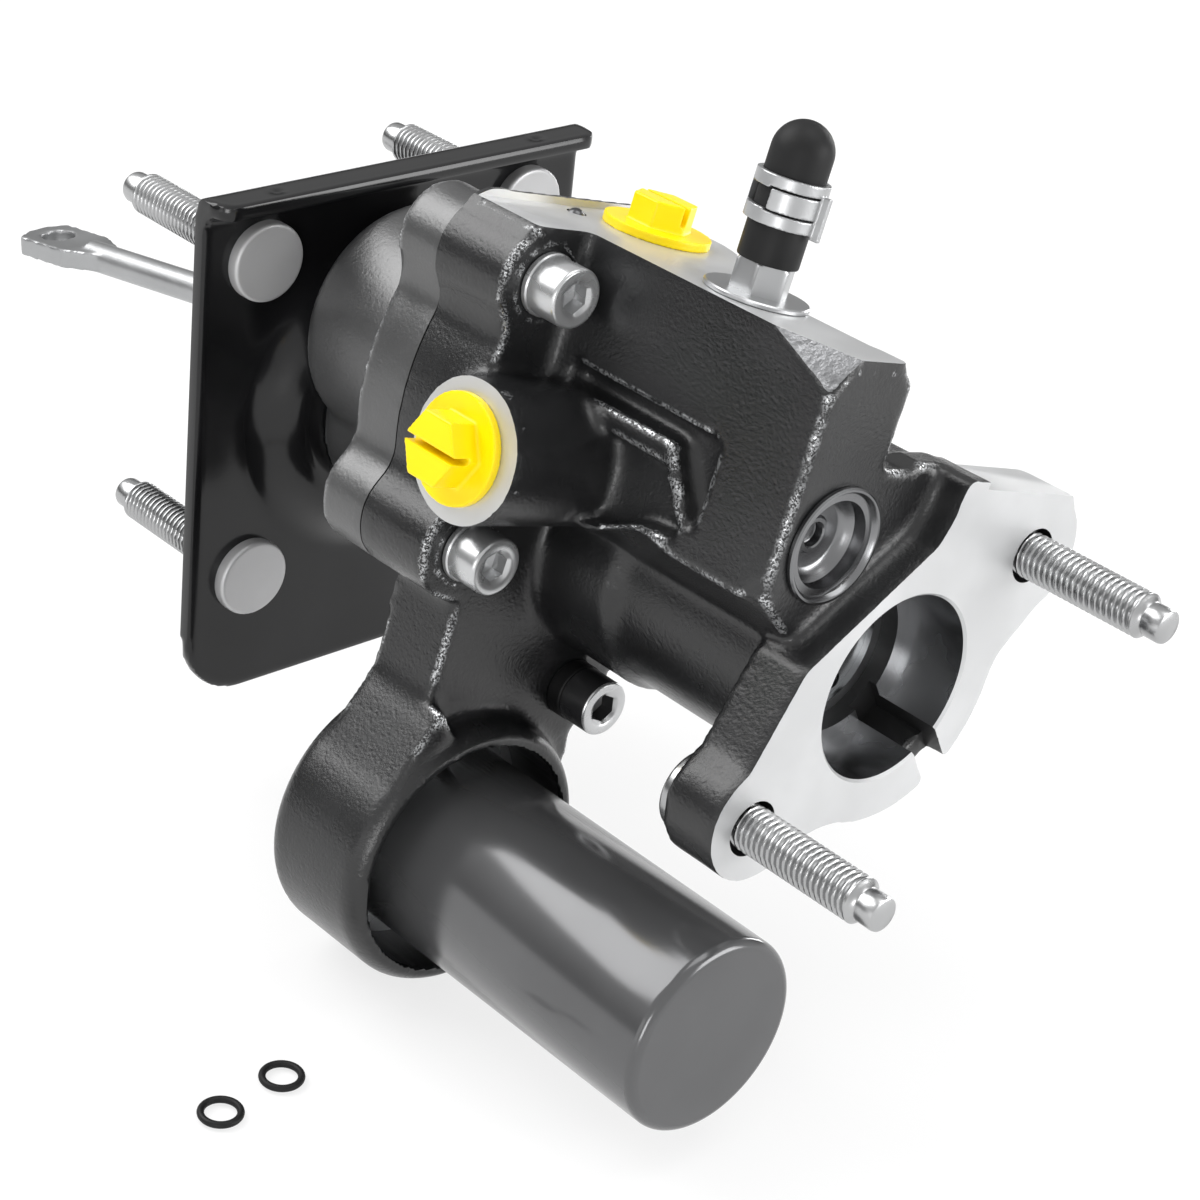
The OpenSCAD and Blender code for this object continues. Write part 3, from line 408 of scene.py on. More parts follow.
    def of(self, finish: Finish) -> bpy.types.Material:
        """The material of a finish, made once."""
        if finish.name not in self.made:
            self.made[finish.name] = finish.material(self.shared)
        return self.made[finish.name]


# Meshes


@dataclass
class Shell:
    """Points in millimetres and faces of a closed piece that is being made."""

    points: np.ndarray
    faces: list[tuple[int, ...]]

    def moved(self, place: Matrix) -> "Shell":
        """A copy put in place by a matrix whose offset is in millimetres."""
        turn = np.array(place.to_3x3())
        return Shell(self.points @ turn.T + np.array(place.to_translation()), list(self.faces))


def in_metres(place: Matrix) -> Matrix:
    """The same place with its offset in metres."""
    return Matrix.Translation(place.to_translation() * MM) @ place.to_3x3().to_4x4()


def joined(*shells: Shell) -> Shell:
    """Several shells as one set of points and faces."""
    points, faces, start = [], [], 0
    for shell in shells:
        points.append(shell.points)
        faces.extend(tuple(k + start for k in face) for face in shell.faces)
        start += len(shell.points)
    return Shell(np.vstack(points), faces)


def turned(rows: Sequence[tuple[float, object]], count: int = 64) -> Shell:
    """A closed shell turned round the X axis.

    Args:
        rows: distance along X and radius, in millimetres; a radius may differ round the piece.
        count: number of steps round the axis.

    Returns:
        The shell, with a row of no radius closed to a point.
    """
    angle = np.arange(count) * 2 * np.pi / count
    points: list[tuple[float, float, float]] = []
    rings: list[list[int]] = []
    for x, radius in rows:
        r = np.broadcast_to(np.asarray(radius, float), (count,))
        start = len(points)
        if r.max() < 1e-6:
            points.append((x, 0.0, 0.0))
            rings.append([start])
        else:
            points.extend(zip(np.full(count, x), r * np.cos(angle), r * np.sin(angle)))
            rings.append(list(range(start, start + count)))
    faces: list[tuple[int, ...]] = []
    for a, b in zip(rings, rings[1:]):
        for k in range(count if len(a) + len(b) > 2 else 0):
            n = (k + 1) % count
            if len(a) == 1:
                faces.append((a[0], b[n], b[k]))
            elif len(b) == 1:
                faces.append((a[k], a[n], b[0]))
            else:
                faces.append((a[k], a[n], b[n], b[k]))
    return Shell(np.array(points), faces)


def ring_of(rows: Sequence[tuple[float, object]], count: int = 64) -> Shell:
    """A closed ring round the X axis from the corners of its section, in order."""
    shell = turned([*rows, rows[0]], count)
    last = len(shell.points) - count
    faces = [tuple(k - last if k >= last else k for k in face) for face in shell.faces]
    return Shell(shell.points[:last], faces)


def rod(x0: float, x1: float, r: float, y: float = 0.0, z: float = 0.0, count: int = ROUND) -> Shell:
    """A plain round rod along X, used as a cutter or a plug."""
    return turned([(x0, 0), (x0, r), (x1, r), (x1, 0)], count).moved(Matrix.Translation((0, y, z)))


def cone(x0: float, x1: float, r0: float, r1: float) -> Shell:
    """A cutter that leaves a sloped rim."""
    return turned([(x0, 0), (x0, r0), (x1, r1), (x1, 0)], ROUND)


def block(low: Sequence[float], high: Sequence[float]) -> Shell:
    """A plain cutter with flat sides."""
    points = np.array([(x, y, z) for x in (low[0], high[0]) for y in (low[1], high[1]) for z in (low[2], high[2])])
    faces = [(0, 1, 3, 2), (4, 6, 7, 5), (0, 4, 5, 1), (2, 3, 7, 6), (0, 2, 6, 4), (1, 5, 7, 3)]
    return Shell(points, faces)


def rounded(x: float, r: float, size: float, start: float, steps: int = 4) -> list[tuple[float, float]]:
    """Rows that round a convex corner at (x, r).

    Args:
        x: place of the corner along X.
        r: radius of the corner.
        size: radius of the rounding.
        start: 1 where the outer wall comes first, then the end face towards +X, -1 where an end face
            towards -X comes first, then the outer wall.
        steps: number of steps.

    Returns:
        Rows for turned().
    """
    rows = []
    for k in range(steps + 1):
        t = math.pi / 2 * k / steps
        if start > 0:
            rows.append((x - size + size * math.sin(t), r - size + size * math.cos(t)))
        else:
            rows.append((x + size - size * math.cos(t), r - size + size * math.sin(t)))
    return rows


def hexagon(across: float, count: int = ROUND) -> np.ndarray:
    """Radii of a hexagon of that width across its flats, round one turn."""
    angle = np.arange(count) * 2 * np.pi / count
    return across / 2 / np.cos((angle + np.pi / 6) % (np.pi / 3) - np.pi / 6)


def threaded(x0: float, x1: float, r: float, pitch: float = 1.5, depth: float = 0.85,
             count: int = 48) -> list[tuple[float, np.ndarray]]:
    """Rows of a helical thread between two distances along X.

    Args:
        x0: start of the thread.
        x1: end of the thread.
        r: radius of its crest.
        pitch: advance in one turn.
        depth: depth of the groove.
        count: number of steps round the axis.

    Returns:
        Rows for turned(), with a run-out at each end.
    """
    steps = int(abs(x1 - x0) / pitch * THREAD_ROWS)
    phase = np.arange(count) / count
    rows = []
    for k in range(steps + 1):
        x = x0 + (x1 - x0) * k / steps
        part = (x / pitch - phase) % 1.0
        groove = np.clip(1.12 - np.abs(part - 0.5) / 0.33, 0.0, 1.0)
        fade = min(1.0, k / RUN_OUT, (steps - k) / RUN_OUT)
        rows.append((x, r - depth * groove * fade))
    return rows


def new_object(name: str, shell: Shell) -> bpy.types.Object:
    """A linked mesh object in metres, with its faces turned outwards."""
    mesh = bpy.data.meshes.new(name)
    mesh.from_pydata((shell.points * MM).tolist(), [], shell.faces)
    work = bmesh.new()
    work.from_mesh(mesh)
    bmesh.ops.recalc_face_normals(work, faces=work.faces)
    work.to_mesh(mesh)
    work.free()
    made = bpy.data.objects.new(name, mesh)
    bpy.context.scene.collection.objects.link(made)
    return made


def baked(obj: bpy.types.Object) -> bpy.types.Mesh:
    """Turns an object's modifiers into a plain mesh of its own and drops them."""
    bpy.context.view_layer.update()
    shown = obj.evaluated_get(bpy.context.evaluated_depsgraph_get())
    mesh = bpy.data.meshes.new_from_object(shown)
    obj.modifiers.clear()
    obj.data = mesh
    mesh.name = obj.name
    return mesh


def numbers(data: object, key: str, width: int, kind: type = np.float64) -> np.ndarray:
    """Reads one property of every element of a mesh as an array."""
    values = np.zeros(len(data) * width, kind)
    data.foreach_get(key, values)
    return values.reshape(-1, width) if width > 1 else values


class Surfacing:
    """Point-by-point work on a mesh."""

    def __init__(self, mesh: bpy.types.Mesh) -> None:
        """Reads the mesh's points, normals and edges."""
        self.mesh = mesh
        self.points = numbers(mesh.vertices, "co", 3)
        self.edges = numbers(mesh.edges, "vertices", 2, np.int32)
        self.count = np.maximum(np.bincount(self.edges.ravel(), minlength=len(self.points)), 1)

    def around(self, values: np.ndarray) -> np.ndarray:
        """Mean of each point's neighbours."""
        a, b = self.edges.T
        size = len(self.points)
        columns = values.reshape(size, -1).T
        sums = [np.bincount(a, c[b], size) + np.bincount(b, c[a], size) for c in columns]
        return (np.array(sums).T / self.count[:, None]).reshape(values.shape)

    def normals(self) -> np.ndarray:
        """Point normals of the present shape."""
        self.store()
        return numbers(self.mesh.vertices, "normal", 3)

    def even(self, rounds: int, shares: Sequence[float] = (0.55, -0.58)) -> None:
        """Evens out the grid's small steps, and keeps the size by a step back after each step."""
        for _ in range(rounds):
            for share in shares:
                self.points += share * (self.around(self.points) - self.points)

    def fill_corners(self, rounds: int, share: float = 0.5) -> None:
        """Fills concave corners as a casting's fillets do, and leaves raised edges as they are."""
        for k in range(rounds):
            if k % 4 == 0:
                normal = self.normals()
            move = share * (self.around(self.points) - self.points)
            out = np.sum(move * normal, axis=1, keepdims=True)
            self.points += np.where(out > 0, move, 0.0)

    def store(self) -> None:
        """Writes the points back."""
        self.mesh.vertices.foreach_set("co", self.points.ravel())
        self.mesh.update()

    def machined_points(self) -> np.ndarray:
        """Numbers of the points that touch a face of another finish than the first."""
        marks = numbers(self.mesh.polygons, "material_index", 1, np.int32)
        totals = numbers(self.mesh.polygons, "loop_total", 1, np.int32)
        corners = numbers(self.mesh.loops, "vertex_index", 1, np.int32)
        return np.unique(corners[np.repeat(marks, totals) > 0])

    def mark_edges(self) -> None:
        """Stores how strongly each point's surface bulges, per millimetre, as the attribute edge."""
        normal = numbers(self.mesh.vertices, "normal", 3)
        a, b = self.edges.T
        along = self.points[b] - self.points[a]
        length = np.maximum(np.sum(along ** 2, axis=1), 1e-10)
        bend = np.sum((normal[b] - normal[a]) * along, axis=1) / length * MM
        size = len(self.points)
        value = (np.bincount(a, bend, size) + np.bincount(b, bend, size)) / self.count
        value = 0.5 * (value + self.around(value))
        cut = np.zeros(size)
        cut[self.machined_points()] = 1.0
        value[(cut + self.around(cut)) > 0] = 0.0
        mark = self.mesh.attributes.new("edge", "FLOAT", "POINT")
        mark.data.foreach_set("value", value.astype(np.float32))


def finish_mesh(obj: bpy.types.Object, angle: float = 38.0) -> bpy.types.Object:
    """Shades a piece smoothly up to an angle and marks its raised edges."""
    mesh = obj.data
    mesh.polygons.foreach_set("use_smooth", np.ones(len(mesh.polygons), bool))
    mesh.set_sharp_from_angle(angle=math.radians(angle))
    Surfacing(mesh).mark_edges()
    return obj


def settle(obj: bpy.types.Object, *nodes: str) -> bpy.types.Object:
    """Lets a piece stand for CAD nodes and move with their body.

    Args:
        obj: the finished piece.
        nodes: the nodes it stands for, all on one body.

    Returns:
        The same piece.
    """
    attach(obj, bpy.data.objects[nodes[0]]["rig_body"])
    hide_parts(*nodes)
    LOG.info("%s stands for %s with %d faces", obj.name, ", ".join(nodes), len(obj.data.polygons))
    return obj


def plain_piece(name: str, shell: Shell, finish: Finish, finishes: Finishes, nodes: Sequence[str],
                place: Optional[Matrix] = None, angle: float = 38.0) -> bpy.types.Object:
    """Makes one piece of one finish and settles it.

    Args:
        name: name of the piece.
        shell: its shape.
        finish: its finish.
        finishes: where materials are made.
        nodes: CAD nodes that it stands for.
        place: where it goes, if it was made elsewhere.
        angle: angle up to which it is shaded smoothly.

    Returns:
        The piece.
    """
    made = new_object(name, shell.moved(place) if place is not None else shell)
    made.data.materials.append(finishes.of(finish))
    return settle(finish_mesh(made, angle), *nodes)


def add_finish(obj: bpy.types.Object, finish: Finish, finishes: Finishes, faces: np.ndarray) -> None:
    """Gives some faces of a piece a second finish.

    Args:
        obj: the piece.
        finish: its second finish.
        finishes: where materials are made.
        faces: whether each face gets it.
    """
    obj.data.materials.append(finishes.of(finish))
    obj.data.polygons.foreach_set("material_index", faces.astype(np.int32))


@dataclass
class Cut:
    """An exact cut through a casting, and the finish that it leaves, or else the casting's own."""

    shell: Shell
    finish: Optional[Finish] = None


@dataclass
class Reworked:
    """A CAD solid made again on an even grid, with cast or moulded roundings and exact cuts."""

    node: str
    name: str
    grid: float
    finishes_used: Sequence[Finish]
    plugs: Sequence[Shell] = ()
    even: int = 2
    fill: int = 12
    lifts: Sequence[Callable[[np.ndarray], np.ndarray]] = ()
    cuts: Sequence[Cut] = ()
    angle: float = 38.0
    unworn: Optional[Callable[[np.ndarray], np.ndarray]] = None

    def make(self, finishes: Finishes) -> bpy.types.Object:
        """Builds, dresses and settles the piece.

        Args:
            finishes: where materials are made.

        Returns:
            The piece.
        """
        obj = self._copy()
        grid = obj.modifiers.new("grid", "REMESH")
        grid.mode = "VOXEL"
        grid.voxel_size = self.grid * MM
        surface = Surfacing(baked(obj))
        surface.even(self.even)
        surface.fill_corners(self.fill)
        surface.even(4)
        for lift in self.lifts:
            surface.points += lift(surface.points / MM) * MM
        surface.store()
        obj.data.materials.clear()
        for finish in self.finishes_used:
            obj.data.materials.append(finishes.of(finish))
        obj.data.polygons.foreach_set("material_index", np.zeros(len(obj.data.polygons), np.int32))
        cutters = [self._add_cut(obj, cut, k) for k, cut in enumerate(self.cuts)]
        if cutters:
            baked(obj)
        for cutter in cutters:
            bpy.data.objects.remove(cutter)
        finish_mesh(obj, self.angle)
        if self.unworn is not None:
            marks = numbers(obj.data.attributes["edge"].data, "value", 1)
            marks[self.unworn(numbers(obj.data.vertices, "co", 3) / MM)] = 0.0
            obj.data.attributes["edge"].data.foreach_set("value", marks.astype(np.float32))
        return settle(obj, self.node)

    def _copy(self) -> bpy.types.Object:
        """A merged copy of the CAD solid, with the plugs in it."""
        obj = bpy.data.objects.new(self.name, bpy.data.objects[self.node].data.copy())
        bpy.context.scene.collection.objects.link(obj)
        work = bmesh.new()
        work.from_mesh(obj.data)
        bmesh.ops.remove_doubles(work, verts=work.verts, dist=1e-6)
        if self.plugs:
            extra = new_object("plugs", joined(*self.plugs))
            work.from_mesh(extra.data)
            bpy.data.objects.remove(extra)
        work.to_mesh(obj.data)
        work.free()
        return obj

    def _add_cut(self, obj: bpy.types.Object, cut: Cut, number: int) -> bpy.types.Object:
        """Adds one exact cut as a modifier and returns its cutter."""
        cutter = new_object(f"cutter_{number}", cut.shell)
        for material in obj.data.materials:
            cutter.data.materials.append(material)
        mark = 0 if cut.finish is None else list(self.finishes_used).index(cut.finish)
        cutter.data.polygons.foreach_set("material_index", np.full(len(cutter.data.polygons), mark, np.int32))
        step = obj.modifiers.new(f"cut_{number}", "BOOLEAN")
        step.operation = "DIFFERENCE"
        step.solver = "MANIFOLD"
        step.object = cutter
        return cutter


def lifted(axis: Vector, face: float, keep: Callable[[np.ndarray], np.ndarray] = lambda p: 1.0,
           stock: float = 1.5, reach: float = 3.2, blend: float = 2.0) -> Callable[[np.ndarray], np.ndarray]:
    """Leaves stock on a face that is cut flat afterwards.

    Args:
        axis: direction in which the face looks.
        face: its distance along that direction, in millimetres.
        keep: share of the stock at each point.
        stock: height of the stock.
        reach: how deep under the face points still move.
        blend: depth over which the move fades.

    Returns:
        A function from points to their moves.
    """
    unit = np.array(axis.normalized())

    def move(points: np.ndarray) -> np.ndarray:
        """The move of each point."""
        depth = face - points @ unit
        t = np.clip((reach - depth) / blend, 0.0, 1.0)
        return (stock * t * t * (3 - 2 * t) * keep(points))[:, None] * unit

    return move


# What repeats, by Geometry Nodes


class Repeats:
    """Geometry Nodes trees that set pieces out or sweep a wire."""

    def __init__(self) -> None:
        """Builds each tree once."""
        self.setting_out = self._setting_out()
        self.coil = self._coil()
        self.loop = self._loop()

    @staticmethod
    def _new(name: str, inputs: dict[str, str]) -> tuple[Tree, object]:
        """An empty tree that takes and gives geometry.

        Args:
            name: name of the tree.
            inputs: kind of each further input by name.

        Returns:
            The tree and the sockets of its inputs.
        """
        tree = bpy.data.node_groups.new(name, "GeometryNodeTree")
        for way in ("INPUT", "OUTPUT"):
            tree.interface.new_socket("Geometry", in_out=way, socket_type="NodeSocketGeometry")
        for key, kind in inputs.items():
            tree.interface.new_socket(key, in_out="INPUT", socket_type=f"NodeSocket{kind}")
        t = Tree(tree)
        return t, t.add("NodeGroupInput").outputs

    @staticmethod
    def _dressed(t: Tree, made: bpy.types.Node, finish: bpy.types.NodeSocket) -> bpy.types.NodeTree:
        """Ends a tree with its real geometry in one finish."""
        real = t.add("GeometryNodeRealizeInstances", {"Geometry": made.outputs[0]})
        dressed = t.add("GeometryNodeSetMaterial", {"Geometry": real.outputs[0], "Material": finish})
        t.add("NodeGroupOutput", {"Geometry": dressed.outputs[0]})
        return t.tree

    def _setting_out(self) -> bpy.types.NodeTree:
        """One piece on each point of a mesh, turned about X by a fixed random angle."""
        t, given = self._new("setting_out", {"Piece": "Object", "Finish": "Material", "Turn": "Float",
                                             "Seed": "Int"})
        piece = t.add("GeometryNodeObjectInfo", {"Object": given["Piece"]})
        angle = t.add("FunctionNodeRandomValue", {2: 0.0, 3: given["Turn"], "Seed": given["Seed"]},
                      data_type="FLOAT")
        turn = t.add("ShaderNodeCombineXYZ", {"X": angle.outputs[1]})
        places = t.add("GeometryNodeInstanceOnPoints", {"Points": given["Geometry"],
                                                        "Instance": piece.outputs["Geometry"],
                                                        "Rotation": turn.outputs[0]})
        return self._dressed(t, places, given["Finish"])

    def _coil(self) -> bpy.types.NodeTree:
        """A round wire wound into a compression spring along Z."""
        t, given = self._new("coil_spring", {"Radius": "Float", "Wire": "Float", "Height": "Float", "Turns": "Float",
                                             "Finish": "Material"})
        path = t.add("GeometryNodeCurveSpiral", {"Resolution": 40, "Rotations": given["Turns"],
                                                 "Start Radius": given["Radius"], "End Radius": given["Radius"],
                                                 "Height": given["Height"]})
        section = t.add("GeometryNodeCurvePrimitiveCircle", {"Resolution": 12, "Radius": given["Wire"]})
        wire = t.add("GeometryNodeCurveToMesh", {"Curve": path.outputs[0], "Profile Curve": section.outputs[0],
                                                 "Fill Caps": True})
        return self._dressed(t, wire, given["Finish"])

    def _loop(self) -> bpy.types.NodeTree:
        """A round ring of round section on each point of a mesh."""
        t, given = self._new("round_rings", {"Radius": "Float", "Section": "Float", "Finish": "Material"})
        path = t.add("GeometryNodeCurvePrimitiveCircle", {"Resolution": 72, "Radius": given["Radius"]})
        section = t.add("GeometryNodeCurvePrimitiveCircle", {"Resolution": 16, "Radius": given["Section"]})
        ring = t.add("GeometryNodeCurveToMesh", {"Curve": path.outputs[0], "Profile Curve": section.outputs[0]})
        places = t.add("GeometryNodeInstanceOnPoints", {"Points": given["Geometry"], "Instance": ring.outputs[0]})
        return self._dressed(t, places, given["Finish"])

    @staticmethod
    def run(obj: bpy.types.Object, tree: bpy.types.NodeTree, values: dict[str, object]) -> None:
        """Runs a tree on an object and keeps the result as a plain mesh.

        Args:
            obj: the object whose mesh goes in and comes out.
            tree: the Geometry Nodes tree.
            values: its inputs by name.
        """
        step = obj.modifiers.new("nodes", "NODES")
        step.node_group = tree
        for item in tree.interface.items_tree:
            if item.item_type == "SOCKET" and item.in_out == "INPUT" and item.name in values:
                step[item.identifier] = values[item.name]
        baked(obj)

    def set_out(self, name: str, piece: Shell, points: Sequence[Sequence[float]], finish: Finish,
                finishes: Finishes, node: str, turn: float = 0.0, seed: int = 1) -> bpy.types.Object:
        """Sets one piece out at several places and settles the whole set.

        Args:
            name: name of the set.
            piece: shape of one piece, about the X axis.
            points: offsets of the pieces, in millimetres.
            finish: their finish.
            finishes: where materials are made.
            node: CAD node that the set stands for.
            turn: largest angle about X, in radians.
            seed: seed of the angles.

        Returns:
            The set as one piece.
        """
        pattern = new_object(f"{name}_pattern", piece)
        made = new_object(name, Shell(np.array(points, float), []))
        self.run(made, self.setting_out, {"Piece": pattern, "Finish": finishes.of(finish), "Turn": turn,
                                          "Seed": seed})
        bpy.data.objects.remove(pattern)
        return settle(finish_mesh(made), node)


@dataclass(frozen=True)
class Coil:
    """A compression spring along X."""

    name: str
    node: str
    radius: float
    wire: float
    start: float
    end: float
    turns: float
    joint: str
    travel: float

    def build(self, finishes: Finishes, repeats: Repeats, place: Matrix) -> None:
        """Builds the spring.

        Args:
            finishes: where materials are made.
            repeats: the coil tree.
            place: where its axis lies, in millimetres.
        """
        length = self.end - self.start
        made = new_object(self.name, Shell(np.zeros((1, 3)), []))
        Repeats.run(made, repeats.coil, {"Radius": self.radius * MM, "Wire": self.wire * MM,
                                         "Height": (length - 2 * self.wire) * MM, "Turns": self.turns,
                                         "Finish": finishes.of(Finishes.spring)})
        first = Matrix.Translation(((self.start + self.wire) * MM, 0, 0))
        made.data.transform(in_metres(place) @ first @ Matrix.Rotation(math.radians(90), 4, "Y"))
        settle(finish_mesh(made), self.node)
        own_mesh(made)


# Sub-assemblies


def stud_tip(end: float, way: int) -> list[tuple[float, float]]:
    """Rows of the plain point at a stud's end.

    Args:
        end: where the stud ends along X.
        way: 1 for a stud that points along +X, -1 for one along -X.

    Returns:
        Rows for turned().
    """
    rows = ((5.6, 4.6), (4.9, 3.72), (4.5, 3.62), (4.2, 3.75), (0.8, 3.78), (0.25, 3.6), (0.0, 3.15), (0.0, 0.0))
    return [(end - way * back, r) for back, r in rows]


@dataclass
class FirewallBracket:
    """Pressed bracket plate with its four studs and the nut behind its dish."""

    pitch_y: float = 77.4
    pitch_z: float = 80.5
    plate: float = 3.5
    head_r: float = 9.45
    head_t: float = 3.0
    head_round: float = 0.9
    reach: float = 47.4
    dish_hole_r: float = 14.2
    nut_across: float = 36.0
    nut_hole_r: float = 14.05

    def build(self, finishes: Finishes, repeats: Repeats) -> None:
        """Builds plate, studs and nut.

        Args:
            finishes: where materials are made.
            repeats: the setting-out trees.
        """
        Reworked("mounting_bracket", "bracket_plate", 0.95, [Finishes.gloss], even=3, fill=5,
                 cuts=[Cut(rod(-2, 20, self.dish_hole_r))]).make(finishes)
        self._studs(finishes, repeats)
        flats = hexagon(self.nut_across)
        full, eased = np.minimum(flats, 20.2), np.minimum(flats, 18.6)
        nut = ring_of([(0.5, self.nut_hole_r), (0.5, eased), (1.4, full), (6.9, full), (7.9, eased),
                       (7.9, self.nut_hole_r)], ROUND)
        plain_piece("bracket_hex_nut", nut, Finishes.hex_steel, finishes, ["bracket_nut"])

    def _studs(self, finishes: Finishes, repeats: Repeats) -> None:
        """The studs, bright behind the plate and satin at their heads."""
        front, size = self.plate + self.head_t, self.head_round
        rows = [(front, 0.0), (front, self.head_r - 1.2),
                *[(front - size + size * math.cos(a), self.head_r - size + size * math.sin(a))
                  for a in (0.2, 0.6, 1.0, math.pi / 2)],
                (self.plate, self.head_r), (self.plate, STUD_R + 0.5), (0.0, STUD_R + 0.5), (-0.2, STUD_R),
                *threaded(-1.2, 6 - self.reach, STUD_R), *stud_tip(-self.reach, -1)]
        places = [(0.0, y * self.pitch_y / 2, z * self.pitch_z / 2) for y in (-1, 1) for z in (-1, 1)]
        studs = repeats.set_out("bracket_studs", turned(rows, 48), places, Finishes.zinc, finishes,
                                "firewall_studs", turn=6.0, seed=3)
        studs.data.materials.clear()
        studs.data.materials.append(finishes.of(Finishes.zinc))
        in_front = numbers(studs.data.polygons, "center", 3)[:, 0] > (self.plate - 0.1) * MM
        add_finish(studs, Finishes.head, finishes, in_front)


@dataclass
class Castings:
    """Rear cover and main housing, as castings with machined faces and bores."""

    grid: float = 1.1
    even: int = 14
    fill: int = 16
    seam: float = 70.5
    seam_gap: float = 0.18
    seam_quiet: float = 2.6
    flange_front: float = 91.5
    port_face: float = -65.0
    bore_end: float = 155.5
    bore_r: float = 17.5
    pilot_r: float = 20.85
    lug_top: float = 44.44
    ring_foot: tuple[float, float, float] = (0.0, -23.9, -42.7)
    ring_way: tuple[float, float, float] = (0.0, -0.729, -0.684)
    # place along X, place across, depth and radius of each hole in the top face
    top_holes: Sequence[tuple[float, float, float, float]] = ((87.5, -17.5, 14, 7.0), (*RETURN_PORT, 12, 5.05),
                                                              (77.0, -31.5, 4, 2.2))

    def build(self, finishes: Finishes) -> None:
        """Builds both castings.

        Args:
            finishes: where materials are made.
        """
        self._cover().make(finishes)
        self._housing().make(finishes)

    @staticmethod
    def _holes(x0: float, x1: float, r: float, low: bool = True) -> list[Shell]:
        """Rods at the cover screws."""
        places = [*SCREWS, LOW_SCREW] if low else SCREWS
        return [rod(x0, x1, r, u, w, 48).moved(CASTING_LEAN) for u, w in places]

    def _cover(self) -> Reworked:
        """The rear cover."""
        beyond, inside = self.seam + 1, 17.5
        # the cover's joint face, bores and holes get the near-black finish: painted shade in the joint's gap and in
        # the bores
        shells = [block((self.seam - self.seam_gap, -150, -150), (self.seam + 30, 150, 150)),
                  rod(inside, beyond, self.bore_r + 0.5),
                  block((inside, -9, 0), (beyond, 9, VALVE_OFFSET)).moved(VALVE_LEAN),
                  rod(inside, beyond, 9, 0, VALVE_OFFSET).moved(VALVE_LEAN),
                  rod(-12, 19.5, 7.06), rod(5.5, 9.5, 9.5), *self._holes(57.7, beyond, 4.05)]
        # the cover's casting finish is painted lighter than the housing's, as painted light on its drum
        return Reworked("rear_cover", "cover_casting", self.grid, [Finishes.cover_cast_painted_light, Finishes.dark_bore],
                        even=self.even, fill=self.fill, lifts=[lifted(Vector((1, 0, 0)), self.seam)],
                        cuts=[Cut(s, Finishes.dark_bore) for s in shells],
                        unworn=lambda p: np.abs(p[:, 0] - self.seam) < self.seam_quiet)

    def _housing(self) -> Reworked:
        """The main housing with its valve block, accumulator ring and master cylinder flange."""
        used = [Finishes.cast, Finishes.machined, Finishes.bored, Finishes.dark_bore, Finishes.rough_corner]
        return Reworked("main_housing", "housing_casting", self.grid, used, plugs=self._plugs(), even=self.even,
                        fill=self.fill, lifts=self._lifts(), cuts=self._faces() + self._bores() + self._small_holes(),
                        unworn=self._quiet)

    def _plugs(self) -> list[Shell]:
        """Rods that close the housing's bores while it is evened out."""
        return [rod(self.seam + 0.2, 173.2, self.bore_r + 0.3), rod(self.bore_end - 1, 173.3, self.pilot_r + 0.3),
                *[rod(157.4, 173.1, 6.4, s * STUD_HALF_PITCH, 0, 48).moved(STUD_LINE) for s in (-1, 1)],
                rod(150.5, 163.3, 10.8, 0, VALVE_OFFSET, 48).moved(VALVE_LEAN)]

    def _lifts(self) -> list[Callable[[np.ndarray], np.ndarray]]:
        """Stock on each face that is cut flat afterwards."""
        lean, line = CASTING_LEAN.to_3x3(), STUD_LINE.to_3x3()
        foot, away = np.array(self.ring_foot), np.array(self.ring_way)

        def near_flange(p: np.ndarray) -> np.ndarray:
            """1 on the joint flange, 0 at the accumulator ring."""
            return np.clip(1.0 - (p - foot) @ away, 0.0, 1.0)

        def near_far_lug(p: np.ndarray) -> np.ndarray:
            """1 on the sloping top of the far lug."""
            across = p @ (line @ Vector((0, 1, 0)))
            return np.clip((p[:, 0] - 154.0) / 2, 0, 1) * np.clip((across - 24.0) / 3, 0, 1)

        def near_port(p: np.ndarray) -> np.ndarray:
            """1 round the side port."""
            return np.clip((118.0 - p[:, 0]) / 4, 0, 1) * np.clip((p[:, 0] - 76.0) / 4, 0, 1)

        return [lifted(lean @ Vector((0, 0, 1)), TOP_FACE),
                lifted(lean @ Vector((0, -1, 0)), -self.port_face, near_port),
                lifted(line @ Vector((0, 0.714, 0.700)), self.lug_top, near_far_lug),
                lifted(Vector((1, 0, 0)), MASTER_FACE),
                lifted(Vector((-1, 0, 0)), -self.seam, near_flange)]

    def _quiet(self, p: np.ndarray) -> np.ndarray:
        """Where no edge is rubbed: at the joint, on the front flange and round the accumulator's mouth."""
        height = p @ np.array(CASTING_LEAN.to_3x3() @ Vector((0, 0, 1)))
        seam = np.abs(p[:, 0] - self.seam) < self.seam_quiet
        mouth = (p[:, 0] > 94) & (np.hypot(p[:, 1] - CAN_AXIS[0], p[:, 2] - CAN_AXIS[1]) < 34)
        flange = (p[:, 0] > 165) | ((p[:, 0] > 150) & (height < 8))
        return seam | mouth | flange

